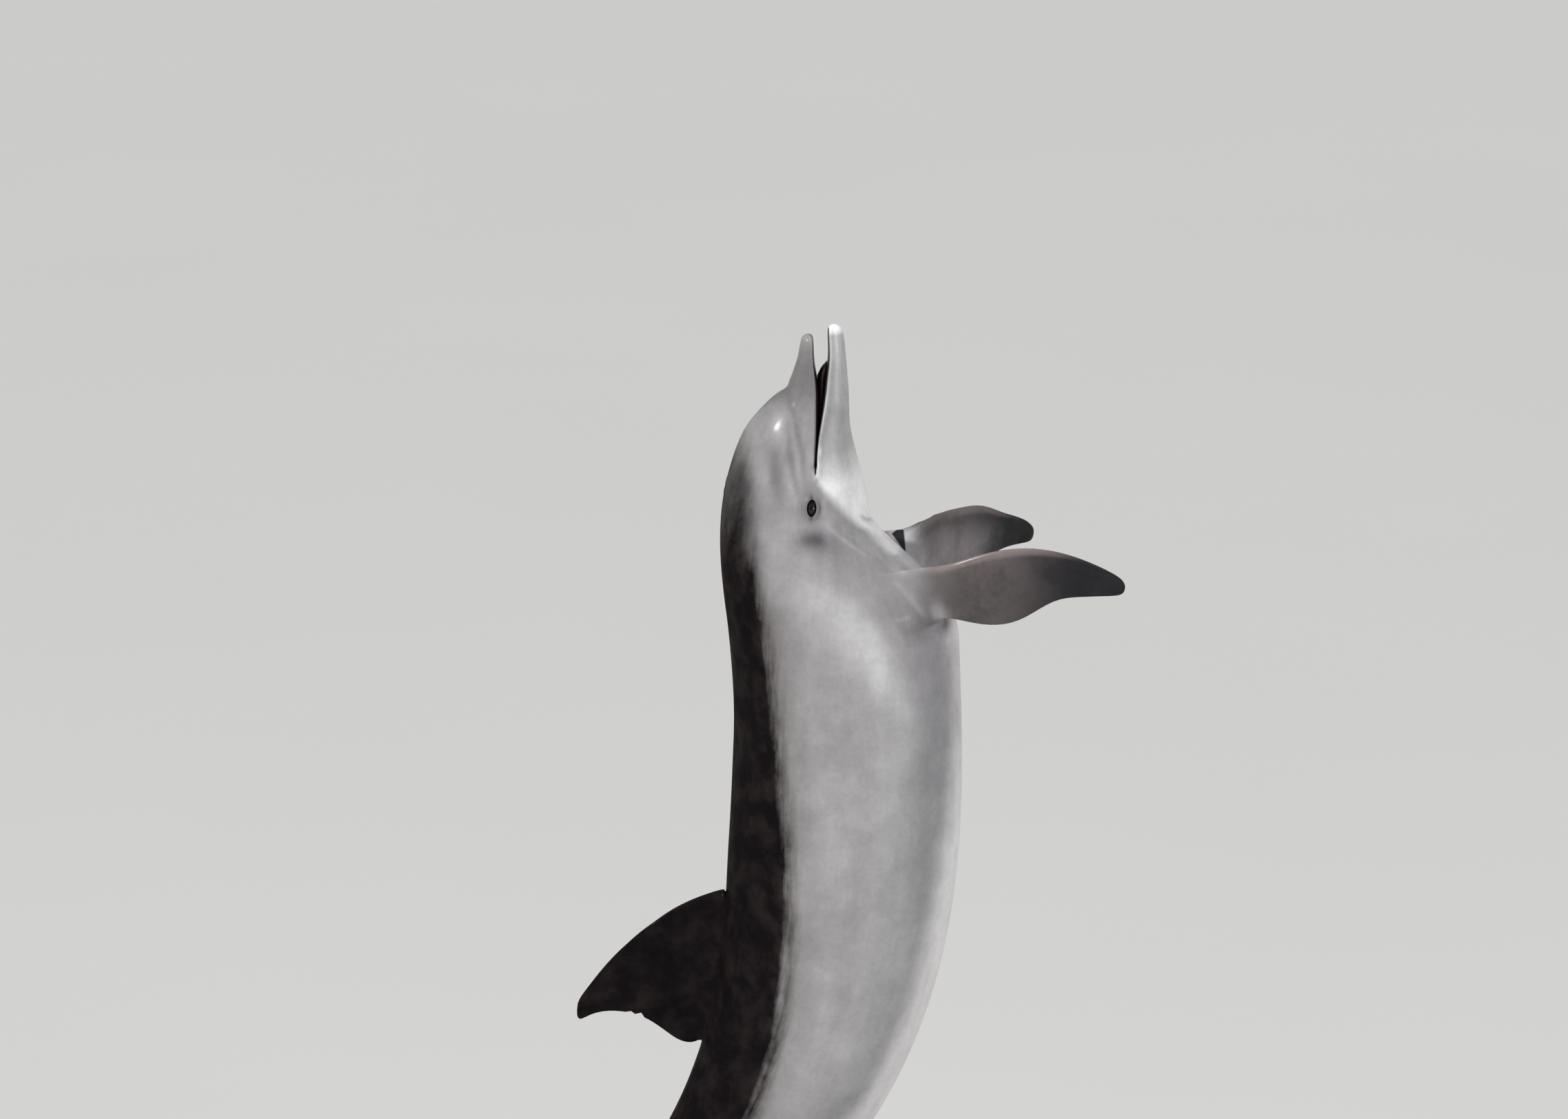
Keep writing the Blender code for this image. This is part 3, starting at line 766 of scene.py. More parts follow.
def paintMasks(skin):
    mesh = skin.data
    tree = skinTree(skin)
    points = readVectors(mesh)
    normals = readVectors(mesh, "normal")
    along, up, side = alongAndUp(points)
    reach, chord, sort = (readMask(mesh, name) for name in ("reach", "chord", "finSort"))
    wander, drift = (
        np.array([noise.noise(Vector(p) * scale) for p in points]) for scale in unevenness["scales"]
    )
    masks = {}

    height = up - curveOf("capeEdge", along)
    height += wander * unevenness["cape"] + drift * unevenness["capeDrift"]
    cape = smoothStep(-1, 1, height / curveOf("capeBlur", along)) * curveOf("capeStrength", along)
    cape *= 1 - maskShares["capeThinning"] * np.exp(-np.maximum(height, 0) / curveOf("capeRamp", along))
    blade = eased("blade", reach) * (sort > 1.5)
    tailEnd = eased("tailEnd", along + wander * unevenness["tailEnd"])
    masks["cape"] = np.maximum(np.maximum(cape, blade), tailEnd)
    masks["ragged"] = curveOf("capeRagged", along)
    tail = maskShares["besideCape"] * bell(height, maskWidths["besideCape"])
    tail += maskShares["pastCape"] * eased("pastCape", -height)
    masks["tail"] = tail * (height < maskHeights["besideCape"]) * curveOf("capeTail", along) * (sort < 0.5)

    # the sort of fin fades over one face at each root, so it is read in bands
    flipper = eased("flipper", reach + wander * unevenness["flipper"])
    rim = eased("rimChord", chord) * eased("rimRoot", reach) * eased("rimTip", reach)
    masks["flipper"] = flipper * (sort > 0) * (sort < 1.5)
    masks["rim"] = rim * (sort > 0.5) * (sort < 1.5)
    masks["under"] = eased("under", normals[:, 1] * np.sign(side)) * (sort > 0.3) * (sort < 1.5)

    height = curveOf("paleEdge", along) - up + wander * unevenness["pale"]
    pale = smoothStep(-1, 1, height / curveOf("paleBlur", along)) * curveOf("paleStrength", along)
    between = maskShares["between"] * eased("betweenFront", along) * eased("betweenRear", along)
    pale = np.maximum(pale, between * eased("betweenSide", np.abs(side)) * (up < 0))
    pale *= 1 - eased("paleRoot", reach) * (sort > 0)
    # the lower jaw's tip is pale, its own colour with a painted highlight on it
    masks["pale"] = np.maximum(pale, eased("tip", along) * (up < maskHeights["tip"]))

    stripe = eased("stripeLow", up - curveOf("stripeLow", along)) * curveOf("stripeStrength", along)
    above = curveOf("stripeHigh", along) - up + drift * unevenness["stripe"]
    masks["stripe"] = stripe * eased("stripeHigh", above)
    halfway = 0.5 * (curveOf("paleEdge", along) + maskHeights["beak"])
    masks["beak"] = curveOf("beakStrength", along) * (up > halfway)
    # a band of painted light across the middle of the flank
    off = up - curveOf("lightCentre", along) + drift * unevenness["light"]
    width = np.where(off > 0, curveOf("lightWidth", along), maskWidths["lightBelow"])
    masks["light"] = bell(off, width) * curveOf("flankLight", along)

    # dark rings round the eyes, then the soft lines: the darker ones are marks and painted shade, the
    # lighter ones pale marks, painted light and painted highlights
    masks["dark"] = shadeRoundEyes(points)
    masks["paleLinesAndPaintedLight"] = np.zeros(len(points))
    for width, strength, line in softLines.values():
        width *= 0.001
        for sign in (1, -1):
            distance, share = pathDistance(points, sidePath(tree, line, sign), width * lineFade["reach"])
            middle = np.sin(np.pi * np.clip(share, *lineFade["span"])) ** lineFade["power"]
            ends = lineFade["ends"] + (1 - lineFade["ends"]) * middle
            masks["dark" if strength > 0 else "paleLinesAndPaintedLight"] += abs(strength) * ends * bell(distance, width)

    masks["mouth"] = insideMouth(normals, along, up)
    aboveLip = up - lipLine(along)
    matte = eased("matteFront", along) * eased("matteRear", along)
    masks["matte"] = matte * eased("matteLow", aboveLip) * eased("matteHigh", aboveLip)
    rosy = maskShares["rosyBelly"] * eased("rosyDrift", drift) * masks["pale"] * eased("rosyChest", along)
    onTip = eased("rosyTip", along) * (up > maskHeights["rosyTip"])
    masks["rosy"] = rosy + maskShares["rosyTip"] * onTip

    for name, values in masks.items():
        writeMask(mesh, name, np.clip(values, 0, 1))
    around = np.arctan2(np.abs(side), up - bodyGrid["axis"]) * bodyGrid["radius"]
    grid = np.stack((along, around, side), 1)
    attribute = mesh.attributes.new("bodyGrid", "FLOAT_VECTOR", "POINT")
    attribute.data.foreach_set("vector", grid.astype(np.float32).ravel())


paintMasks(skin)
print("markings laid out")


# Steps that every material is built from

def newMaterial(name):
    material = bpy.data.materials.new(name)
    material.use_nodes = True
    tree = material.node_tree
    return material, tree, addNode("TexCoord", {}, "Object", tree)


def feed(value, socket):
    if isinstance(value, bpy.types.NodeSocket):
        socket.id_data.links.new(value, socket)
    elif socket.type == "RGBA":
        socket.default_value = (*value, 1)
    else:
        socket.default_value = value


def addNode(kind, inputs, output, tree=None, **settings):
    # a node in the tree that its inputs come from, given as the one output that is wanted from it
    sockets = [value for value in inputs.values() if isinstance(value, bpy.types.NodeSocket)]
    made = (tree or sockets[0].id_data).nodes.new("ShaderNode" + kind)
    for name, value in settings.items():
        setattr(made, name, value)
    for name, value in inputs.items():
        feed(value, made.inputs[name])
    return made.outputs[output]


def setShader(tree, values):
    for name, value in values.items():
        feed(value, tree.nodes["Principled BSDF"].inputs[name])


def mask(tree, name):
    return addNode("Attribute", {}, "Fac", tree, attribute_name=name)


def mixColours(factor, first, second, blend="MIX"):
    inputs = {0: factor, 6: first, 7: second}
    return addNode("Mix", inputs, 2, data_type="RGBA", blend_type=blend)


def sums(kind, first, *others):
    for other in others:
        first = addNode("Math", {0: first, 1: other}, 0, operation=kind)
    return first


def times(*values):
    return sums("MULTIPLY", *values)


def whatIsLeft(value):
    return sums("SUBTRACT", 1.0, value)


def spread(value, low, high, newLow=0, newHigh=1, smooth=False):
    inputs = {"Value": value, "From Min": low, "From Max": high, "To Min": newLow, "To Max": newHigh}
    kind = "SMOOTHSTEP" if smooth else "LINEAR"
    return addNode("MapRange", inputs, "Result", interpolation_type=kind)


def noiseOn(vector, scale, detail, roughness, stretch=None):
    if stretch is not None:
        vector = addNode("Mapping", {"Scale": stretch, "Vector": vector}, "Vector")
    inputs = {"Scale": scale, "Detail": detail, "Roughness": roughness, "Vector": vector}
    return addNode("TexNoise", inputs, "Fac")


def bumpOn(height, distance, strength, under=None):
    inputs = {"Distance": distance, "Strength": strength, "Height": height}
    if under is not None:
        inputs["Normal"] = under
    return addNode("Bump", inputs, "Normal")


def surfaceMaterial(name, look):
    # two colours, the roughness and the relief each follow one of the surface's patterns
    material, tree, place = newMaterial(name)
    patterns = {key: noiseOn(place, *settings) for key, settings in look["patterns"].items()}
    spans = (look["share"], *look["roughness"])
    share, *roughness = (spread(patterns[key], *span) for key, *span in spans)
    key, distance, strength = look["relief"]
    setShader(tree, {
        "Base Color": mixColours(share, *look["colours"]),
        "Roughness": sums("ADD", *roughness),
        "Normal": bumpOn(patterns[key], distance, strength),
        **look["shader"],
    })
    return material


# The wet skin

skinLook = {
    "flankDark": (0.270, 0.261, 0.266),
    "flankLight": (0.362, 0.351, 0.355),
    # the colour of the painted light on the flank
    "paintedLightColour": (0.560, 0.549, 0.553),
    "beak": (0.148, 0.140, 0.148),
    "stripe": (0.292, 0.276, 0.285),
    "pale": (0.850, 0.836, 0.840),
    "flipperRoot": (0.165, 0.150, 0.152),
    "flipper": (0.090, 0.077, 0.078),
    "flipperUnder": (0.310, 0.283, 0.288),
    "flipperArmpit": (0.520, 0.480, 0.490),
    "flipperTip": (0.0080, 0.0070, 0.0090),
    "flipperRim": (0.270, 0.222, 0.215),
    "cape": (0.0070, 0.0056, 0.0062),
    "capeBrown": (0.046, 0.034, 0.033),
    "shadow": (0.060, 0.048, 0.048),
    # this colour goes on dark marks and painted shade, the next on pale marks, flecks and painted
    # highlights
    "darkMarkAndShade": (0.045, 0.041, 0.046),
    "paleMarkAndHighlight": (0.740, 0.725, 0.730),
    # near black: painted shade inside the mouth
    "mouth": (0.020, 0.012, 0.013),
    "rose": (0.620, 0.400, 0.400),
    "capeDryness": 0.90,
}
# Each pattern's scale, detail and roughness, and how far streaks are drawn out along the body
skinPatterns = {
    "cloud": (4.5, 5.0, 0.55),
    "mottle": (19.0, 6.0, 0.62),
    "scuff": (34.0, 8.0, 0.72),
    "speck": (120.0, 4.0, 0.6),
}
streakPatterns = {
    "streak": (1.0, 5.0, 0.6, (5.0, 34.0, 5.0)),
    "fineStreak": (1.0, 4.0, 0.6, (14.0, 150.0, 14.0)),
}
# What is read from a value, and what it is spread to
skinSpans = {
    "greys": (0.32, 0.66),
    "blush": (0.4, 0.7, 0.2, 0.8),
    "fleck": (0.70, 0.77, 0, 0.45), "fleckCloud": (0.45, 0.6),
    "shadow": (0.32, 0.68, 0.55, 1.35),
    "reachMottle": (0.3, 0.7, -0.09, 0.09), "rootEnd": (0.02, 0.22), "armpitEnd": (0.08, 0.34),
    "underChord": (0.20, 0.62, 0.02, 0.9), "tipStart": (0.40, 0.78, 0, 1, True),
    "chordCloud": (0.3, 0.7, -0.3, 0.3), "chordShade": (0, 1, 1.02, 0.74),
    "bladeMottle": (0.3, 0.7, 0.78, 1.24),
    "blotch": (0.3, 0.7, -0.9, 0.9), "bladeShare": (0.03, 0.95, 0, 0.97),
    "roughStreak": (0.3, 0.7, -0.36, 0.36), "roughScuff": (0.35, 0.65, -0.12, 0.12),
    "brown": (0.42, 0.74), "brownFringe": (0, 0.22, 0.28, 1), "cape": (0.02, 0.92),
    "roughness": (0.3, 0.7, 0.45, 0.60), "wetness": (0.3, 0.7, 0.30, 0.75),
    "scratch": (0.66, 0.74),
}
skinTones = {
    "mottle": (0.25, 0.75, 0.86, 1.12),
    "streak": (0.25, 0.75, 0.92, 1.08),
    "speck": (0.3, 0.7, 0.95, 1.05),
    "fineStreak": (0.68, 0.76, 1.0, 1.10),
}
# Distance and strength of each pattern's relief
skinRelief = {
    "cloud": (0.004, 0.35), "mottle": (0.0012, 0.30), "scratch": (0.0002, 0.25), "speck": (0.0003, 0.22),
}

# The shaded hollow before the far flipper: a wedge between three planes
hollow = {
    "place": (0.420, -0.099, -0.071),
    "sides": (
        ((-0.996, -0.022, -0.089), 0.0113),
        ((0.596, -0.194, -0.779), 0.0209),
        ((0.820, 0.139, 0.556), 0.0013),
    ),
    "softness": 0.0015,
    "radius": (0.034, 0.039),
    "shade": 0.95,
    "colour": (0.006, 0.006, 0.012),
}


def hollowMask(place):
    centre = linePoint(*hollow["place"])
    soft = hollow["softness"]
    offset = addNode("VectorMath", {0: place, 1: centre}, "Vector", operation="SUBTRACT")
    length = addNode("VectorMath", {0: offset}, "Value", operation="LENGTH")
    share = spread(length, *hollow["radius"], hollow["shade"], 0, True)
    for normal, gap in hollow["sides"]:
        level = addNode("VectorMath", {0: offset, 1: normal}, "Value", operation="DOT_PRODUCT")
        share = times(share, spread(level, -gap - soft, -gap + soft, smooth=True))
    return share


def wetSkin():
    material, tree, place = newMaterial("wetDolphinSkin")
    look = skinLook
    grid = addNode("Attribute", {}, "Vector", tree, attribute_name="bodyGrid")
    patterns = {name: noiseOn(place, *settings) for name, settings in skinPatterns.items()}
    cloud, mottle, scuff, speck = patterns.values()
    patterns["streak"] = streak = noiseOn(grid, *streakPatterns["streak"])
    patterns["fineStreak"] = fineStreak = noiseOn(grid, *streakPatterns["fineStreak"])

    def part(value, name):
        return spread(value, *skinSpans[name])

    def washed(colour, *washes):
        # each wash is a mask, its strength and its colour
        for name, strength, wash in washes:
            colour = mixColours(times(mask(tree, name), strength), colour, look[wash])
        return colour

    # flank: two greys in clouds, with a band of painted light across the middle of the chest
    colour = mixColours(part(cloud, "greys"), look["flankDark"], look["flankLight"])
    colour = washed(
        colour, ("light", 0.85, "paintedLightColour"), ("beak", 1.0, "beak"), ("stripe", 0.85, "stripe"),
        ("pale", 1.0, "pale"), ("rosy", part(mottle, "blush"), "rose"),
    )

    # flippers: paler at the root and inside, dark at the tip, their edge on the flank blotched
    farther = sums("ADD", mask(tree, "reach"), part(mottle, "reachMottle"))
    blade = mixColours(part(farther, "rootEnd"), look["flipperRoot"], look["flipper"])
    inner = mixColours(part(farther, "armpitEnd"), look["flipperArmpit"], look["flipperUnder"])
    innerShare = times(mask(tree, "under"), part(mask(tree, "chord"), "underChord"))
    blade = mixColours(innerShare, blade, inner)
    blade = mixColours(part(farther, "tipStart"), blade, look["flipperTip"])
    shade = part(sums("ADD", mask(tree, "chord"), part(cloud, "chordCloud")), "chordShade")
    shade = times(shade, part(mottle, "bladeMottle"))
    blade = washed(mixColours(1.0, blade, shade, "MULTIPLY"), ("rim", 0.6, "flipperRim"))
    flipper = mask(tree, "flipper")
    blotch = times(flipper, whatIsLeft(flipper), part(mottle, "blotch"))
    colour = mixColours(part(sums("ADD", flipper, blotch), "bladeShare"), colour, blade)

    # a brown shadow beside the cape, and small pale flecks
    colour = washed(colour, ("tail", part(streak, "shadow"), "shadow"))
    fleck = times(part(scuff, "fleck"), part(cloud, "fleckCloud"))
    colour = mixColours(fleck, colour, look["paleMarkAndHighlight"])

    # cape: near black, brown where it thins, its edge broken into streaks and flecks
    cape = mask(tree, "cape")
    rough = sums("ADD", part(streak, "roughStreak"), part(scuff, "roughScuff"))
    fringe = times(cape, whatIsLeft(cape))
    capeShare = sums("ADD", cape, times(fringe, 4.0, rough, mask(tree, "ragged")))
    brown = times(part(mottle, "brown"), part(fringe, "brownFringe"))
    capeColour = mixColours(brown, look["cape"], look["capeBrown"])
    colour = mixColours(part(capeShare, "cape"), colour, capeColour)

    # pale lines with painted light and highlights, dark marks with painted shade, and painted shade inside
    # the mouth
    colour = washed(colour, ("paleLinesAndPaintedLight", 1.0, "paleMarkAndHighlight"), ("dark", 1.0, "darkMarkAndShade"), ("mouth", 1.0, "mouth"))
    shaded = hollowMask(place)
    colour = mixColours(shaded, colour, hollow["colour"])

    # fine variation over all of it: mottling, streaks and specks
    tone = times(*(spread(patterns[name], *span) for name, span in skinTones.items()))
    colour = mixColours(1.0, colour, tone, "MULTIPLY")

    # the gloss is all in a film of water, thinner on the cape
    film = part(mottle, "wetness")
    for dull in (times(cape, look["capeDryness"]), mask(tree, "matte"), shaded):
        film = times(film, whatIsLeft(dull))

    patterns["scratch"] = part(fineStreak, "scratch")
    relief = None
    for name, (distance, strength) in skinRelief.items():
        relief = bumpOn(patterns[name], distance, strength, relief)
    setShader(tree, {
        "Base Color": colour,
        "Roughness": part(cloud, "roughness"),
        "Specular IOR Level": 0.0,
        "Coat Weight": film,
        "Coat Roughness": 0.20,
        "Coat IOR": 1.33,
        "Normal": relief,
    })
    return material


skin.data.materials.clear()
skin.data.materials.append(wetSkin())
activate(skin)
bpy.ops.object.shade_smooth()
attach(skin, "root")
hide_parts(*skinSetup["pieces"])
print("skin finished:", sum(len(p.vertices) - 2 for p in skin.data.polygons), "triangles")


# Eyes: a smooth ball in each socket, with a dark brown iris and a wide pupil

eyeLook = {
    "smoothLevels": 2,
    "irisRadius": 0.0098,
    "irisEdge": (1.06, 0.94),
    "pupilHalf": (0.0052, 0.0030),
    "pupilEdge": (1.10, 0.90),
    "bulge": 0.0005,  # the clear window swells
    "bulgeEdge": (1.15, 0.0),
    "iris": (0.020, 0.012, 0.009),
    "irisDeep": (0.008, 0.005, 0.004),
    "pupil": (0.002, 0.002, 0.003),
    "white": (0.034, 0.024, 0.022),
    "flecks": (900.0, 3.0, 0.6),
    "fleckSpan": (0.35, 0.65, 0, 0.7),
    "relief": (0.00005, 0.2),
}


def eyeMaterial():
    material, tree, place = newMaterial("darkEye")
    flecks = noiseOn(place, *eyeLook["flecks"])
    brown = mixColours(spread(flecks, *eyeLook["fleckSpan"]), eyeLook["iris"], eyeLook["irisDeep"])
    colour = mixColours(mask(tree, "irisShare"), eyeLook["white"], brown)
    setShader(tree, {
        "Base Color": mixColours(mask(tree, "pupilShare"), colour, eyeLook["pupil"]),
        "Roughness": 0.12,
        "Specular IOR Level": 0.15,
        "Coat Weight": 0.35,
        "Coat Roughness": 0.04,
        "Normal": bumpOn(flecks, *eyeLook["relief"]),
    })
    return material


def addEye(nodeName, pieceName, material):
    eye = copyNode(nodeName, pieceName)
    startEdit(eye)
    joinTriangles()
    endEdit()
    addSmoothing(eye, eyeLook["smoothLevels"])
    bpy.ops.object.modifier_apply(modifier="smooth")
    points = readVectors(eye.data)
    ahead, above, outward = eyeOffsets(nodeName, points)
    front = outward > 0
    ring = np.hypot(ahead, above) / eyeLook["irisRadius"]
    wide = ovalRing(ahead, above, eyeLook["pupilHalf"])
    writeMask(eye.data, "irisShare", smoothStep(*eyeLook["irisEdge"], ring) * front)
    writeMask(eye.data, "pupilShare", smoothStep(*eyeLook["pupilEdge"], wide) * front)
    bulge = eyeLook["bulge"] * smoothStep(*eyeLook["bulgeEdge"], ring) * front
    writePoints(eye.data, points + np.outer(bulge, eyeAxes(nodeName)[2]))
    eye.data.materials.append(material)
    bpy.ops.object.shade_smooth()
    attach(eye, "root")
    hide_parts(nodeName)


darkEye = eyeMaterial()
addEye("eye_right", "eyeballRight", darkEye)
addEye("eye_left", "eyeballLeft", darkEye)
print("eyes set")


# Tongue: flesh that fills the back of the open mouth, coloured near black as painted shade

tongueLook = {
    "stations": (0.066, 0.228),
    "top": ((0.066, 0.033), (0.08, 0.043), (0.095, 0.05), (0.13, 0.0492), (0.165, 0.049), (0.228, 0.0525)),
    "bottom": ((0.066, 0.029), (0.095, 0.032), (0.13, 0.036), (0.165, 0.042), (0.228, 0.05)),
    "bluntness": 1.9,  # of both ends
    "widthShare": 0.66,  # of the jaw
    "belowLip": 0.012,  # where the jaw's width is taken
    "mesh": {"segments": 40, "ring_count": 36},
    "furrow": (0.0012, 0.0035),  # depth and width along the middle
    "surface": {
        "patterns": {"buds": (260.0, 4.0, 0.6)},
        # near black: painted shade inside the mouth
        "colours": ((0.016, 0.009, 0.010), (0.050, 0.024, 0.025)),
        "share": ("buds", 0.4, 0.7, 0, 0.7),
        "roughness": (("buds", 0.3, 0.7, 0.35, 0.55),),
        "relief": ("buds", 0.0004, 0.5),
        "shader": {"Specular IOR Level": 0.15},
    },
}


def shapeTongue(tongue, skin):
    tree = skinTree(skin)
    first, last = tongueLook["stations"]
    depth, width = tongueLook["furrow"]
    shaped = []
    for x, y, z in readVectors(tongue.data):
        s = first + (last - first) * 0.5 * (1 - z)
        top = np.interp(s, *np.array(tongueLook["top"]).T)
        bottom = np.interp(s, *np.array(tongueLook["bottom"]).T)
        fullness = min(1.0, tongueLook["bluntness"] * math.hypot(x, y))
        turn = math.atan2(x, y)
        jaw = abs(onSide(tree, s, float(lipLine(s)) - tongueLook["belowLip"], 1).y)
        side = tongueLook["widthShare"] * jaw * fullness * math.cos(turn)
        height = 0.5 * (top + bottom) + 0.5 * (top - bottom) * fullness * math.sin(turn)
        if math.sin(turn) > 0:
            height -= depth * math.exp(-(side / width) ** 2)
        shaped.append(linePoint(s, height, side))
    writePoints(tongue.data, np.array(shaped))
    startEdit(tongue)
    bpy.ops.mesh.normals_make_consistent()
    endEdit()
    bpy.ops.object.shade_smooth()


tongue = addPrimitive("tongue", bpy.ops.mesh.primitive_uv_sphere_add, **tongueLook["mesh"])
shapeTongue(tongue, skin)
tongue.data.materials.append(surfaceMaterial("tongueInPaintedShade", tongueLook["surface"]))
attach(tongue, "root")
print("tongue made")


# Stand: lacquered board, powder coated steel rods with screwed feet

standLook = {
    "rodSides": 64,
    "footScrews": 4,
    "rodRadius": 0.022,
    "rodGap": 0.0005,
    "footHeight": 0.012,
    "sharpAngle": math.radians(35),
    # each outwards and upwards: from the foot's lower edge, its upper edge, and where the rod meets it
    "lowerEdge": ((-0.0015, 0), (0, 0.0015)),
    "upperEdge": ((0, -0.0025), (-0.0008, -0.0008), (-0.0025, 0)),
    "fillet": ((0.0065, 0), (0.0048, 0.0004), (0.0022, 0.0022), (0.0007, 0.005), (0, 0.0085)),
}
screwLook = {
    "circle": 0.044,
    "radius": 0.0055,
    "height": 0.0042,
    "sunk": 0.0003,
    "socketDepth": 0.0022,
    "socketShare": 0.5,  # of the radius, between the edge and the socket
    "sides": 24,
    "bevel": 0.0007,
    "bevelSteps": 3,
    "bevelAngle": math.radians(50),
}
lacquer = {
    "patterns": {
        "grain": (1.0, 6.0, 0.6, (3.0, 90.0, 90.0)),
        "dust": (7.0, 6.0, 0.65),
        "prints": (26.0, 3.0, 0.5),
    },
    "colours": ((0.016, 0.016, 0.018), (0.060, 0.052, 0.045)),
    "share": ("grain", 0.45, 0.85, 0, 0.35),
    "roughness": (("dust", 0.3, 0.7, 0.22, 0.36), ("prints", 0.45, 0.7, 0, 0.10)),
    "relief": ("grain", 0.0004, 0.25),
    "shader": {"Coat Weight": 0.5, "Coat Roughness": 0.12},
}
rodSteel = {
    "patterns": {"orangePeel": (420.0, 3.0, 0.5), "wear": (11.0, 7.0, 0.7)},
    "colours": ((0.035, 0.036, 0.039), (0.0665, 0.0684, 0.0741)),
    "share": ("wear", 0.52, 0.75, 0, 0.55),
    "roughness": (("wear", 0.3, 0.7, 0.37, 0.52),),
    "relief": ("orangePeel", 0.0002, 0.3),
    "shader": {"Metallic": 0.55},
}
screwSteel = {
    **rodSteel,
    "colours": ((0.42, 0.42, 0.44), (0.798, 0.798, 0.836)),
    "roughness": (("wear", 0.3, 0.7, 0.23, 0.38),),
    "shader": {"Metallic": 1.0},
}


def spinPiece(name, outline, centre, sides):
    # an outline of (radius, height) pairs turned about an upright axis
    mesh = bpy.data.meshes.new(name)
    points = [(centre[0] + radius, centre[1], height) for radius, height in outline]
    mesh.from_pydata(points, [(k, k + 1) for k in range(len(points) - 1)], [])
    piece = addObject(name, mesh)
    startEdit(piece)
    bpy.ops.mesh.spin(steps=sides, angle=2 * math.pi, center=(*centre, 0), axis=(0, 0, 1))
    bpy.ops.mesh.select_all(action="SELECT")
    bpy.ops.mesh.remove_doubles(threshold=0.00002)
    bpy.ops.mesh.normals_make_consistent()
    endEdit()
    return piece


def addScrew(name, centre, height, material):
    # a button head with a round socket
    radius = screwLook["radius"]
    screw = addPrimitive(
        name, bpy.ops.mesh.primitive_cylinder_add, vertices=screwLook["sides"], radius=radius,
        depth=screwLook["height"],
        location=(*centre, height + screwLook["height"] / 2 - screwLook["sunk"]),
    )
    bpy.ops.object.transform_apply()
    for face in screw.data.polygons:
        face.select = face.normal.z > 0.9
    bpy.ops.object.mode_set(mode="EDIT")
    bpy.context.tool_settings.mesh_select_mode = (False, False, True)
    bpy.ops.mesh.inset(thickness=radius * screwLook["socketShare"], depth=0)
    bpy.ops.mesh.extrude_region_move(TRANSFORM_OT_translate={"value": (0, 0, -screwLook["socketDepth"])})
    bpy.ops.mesh.select_all(action="DESELECT")
    endEdit()
    bevel = screw.modifiers.new("edges", "BEVEL")
    bevel.width = screwLook["bevel"]
    bevel.segments = screwLook["bevelSteps"]
    bevel.angle_limit = screwLook["bevelAngle"]
    bpy.ops.object.modifier_apply(modifier="edges")
    bpy.ops.object.shade_smooth_by_angle(angle=standLook["sharpAngle"])
    screw.data.materials.append(material)
    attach(screw, "root")


def addRod(nodeName, pieceName, material, screwMaterial):
    low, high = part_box(nodeName)
    centre = ((low.x + high.x) / 2, (low.y + high.y) / 2)
    foot = (high.x - low.x) / 2
    rod = standLook["rodRadius"]
    top = low.z + standLook["footHeight"]
    rodTop = high.z - standLook["rodGap"]
    corners = {"lowerEdge": (foot, low.z), "upperEdge": (foot, top), "fillet": (rod, top)}
    outline = [(0, low.z)]
    for edge, (radius, level) in corners.items():
        outline += [(radius + outwards, level + upwards) for outwards, upwards in standLook[edge]]
    outline += [(rod, rodTop), (0, rodTop)]
    piece = spinPiece(pieceName, outline, centre, standLook["rodSides"])
    bpy.ops.object.shade_smooth_by_angle(angle=standLook["sharpAngle"])
    piece.data.materials.append(material)
    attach(piece, "root")
    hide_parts(nodeName)
    for k in range(standLook["footScrews"]):
        turn = math.pi / 4 + 2 * math.pi * k / standLook["footScrews"]
        out = (math.cos(turn), math.sin(turn))
        spot = [middle + screwLook["circle"] * share for middle, share in zip(centre, out)]
        addScrew(pieceName + "Screw" + str(k + 1), spot, top, screwMaterial)


powderCoat = surfaceMaterial("powderCoatedSteel", rodSteel)
bareSteel = surfaceMaterial("bareSteel", screwSteel)
addRod("stand_rod_front", "standRodFront", powderCoat, bareSteel)
addRod("stand_rod_rear", "standRodRear", powderCoat, bareSteel)
board = nodes["stand_base"]
board.data.materials.clear()
board.data.materials.append(surfaceMaterial("blackLacquer", lacquer))
print("stand finished")


# Studio: pale floor and surround, two soft suns and two round lamps

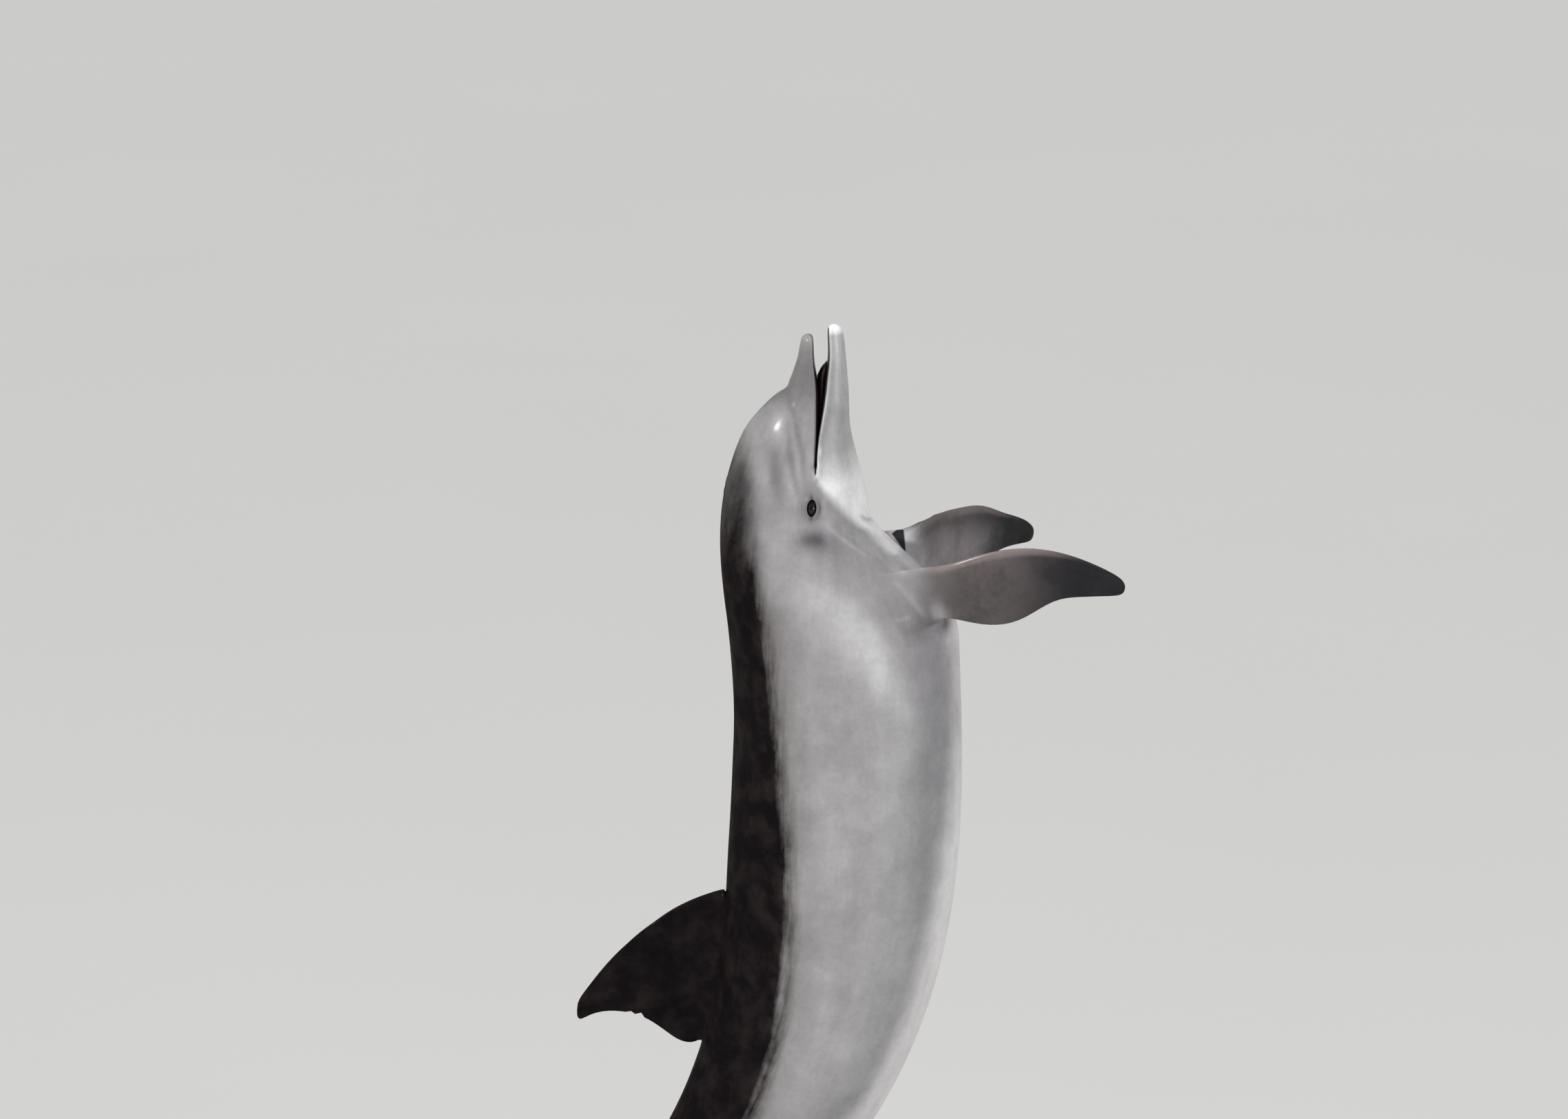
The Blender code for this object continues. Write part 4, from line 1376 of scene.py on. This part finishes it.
studio = {
    "floorSize": 160.0,
    "floorColour": (0.66, 0.66, 0.65),
    "floorCloud": (0.6, 4.0, 0.5),
    "floorShade": 0.97,  # the darker clouds on it
    "surround": (0.93, 0.96, 1.0),
    "surroundStrength": 0.36,
    "sunColour": (1.0, 0.985, 0.96),
    "sunDistance": 9.0,
    # name: direction, strength, spread in degrees
    "suns": {
        "mainLamp": ((0.63, 0.49, -0.61), 2.02, 7.0),
        "topLamp": ((-0.45, 0.06, -0.89), 0.70, 25.0),
    },
    # name: place, size, watts, colour, aimed at
    "lamps": {
        "spark": ((-4.40, -3.70, 6.30), 0.90, 110, (1.0, 0.98, 0.95), (0.0, 0.0, 2.1)),
        "fill": ((4.5, -7.0, 3.4), 3.0, 160, (0.95, 0.97, 1.0), (0.05, 0.0, 1.8)),
    },
}


def addLamp(name, kind, energy, colour, place, direction):
    lamp = bpy.data.lights.new(name, kind)
    lamp.energy = energy
    lamp.color = colour
    pointAt(addObject(name, lamp), place, direction)
    return lamp


def floorMaterial():
    material, tree, place = newMaterial("paleFloorPaint")
    cloud = noiseOn(place, *studio["floorCloud"])
    darker = tuple(c * studio["floorShade"] for c in studio["floorColour"])
    setShader(tree, {
        "Base Color": mixColours(cloud, darker, studio["floorColour"]),
        "Roughness": 0.8,
        "Specular IOR Level": 0.2,
    })
    return material


def addStudio():
    floor = addPrimitive("paleFloor", bpy.ops.mesh.primitive_plane_add, size=studio["floorSize"])
    floor.data.materials.append(floorMaterial())
    world = bpy.data.worlds.new("paleSurround")
    world.use_nodes = True
    background = world.node_tree.nodes["Background"]
    background.inputs["Color"].default_value = (*studio["surround"], 1)
    background.inputs["Strength"].default_value = studio["surroundStrength"]
    bpy.context.scene.world = world
    for name, (direction, strength, angle) in studio["suns"].items():
        place = Vector(direction) * -studio["sunDistance"]
        sun = addLamp(name, "SUN", strength, studio["sunColour"], place, direction)
        sun.angle = math.radians(angle)
    for name, (place, size, watts, colour, aim) in studio["lamps"].items():
        lamp = addLamp(name, "AREA", watts, colour, place, Vector(aim) - Vector(place))
        lamp.shape = "DISK"
        lamp.size = size
    bpy.context.scene.view_settings.view_transform = "Standard"


addStudio()
print("studio lit")
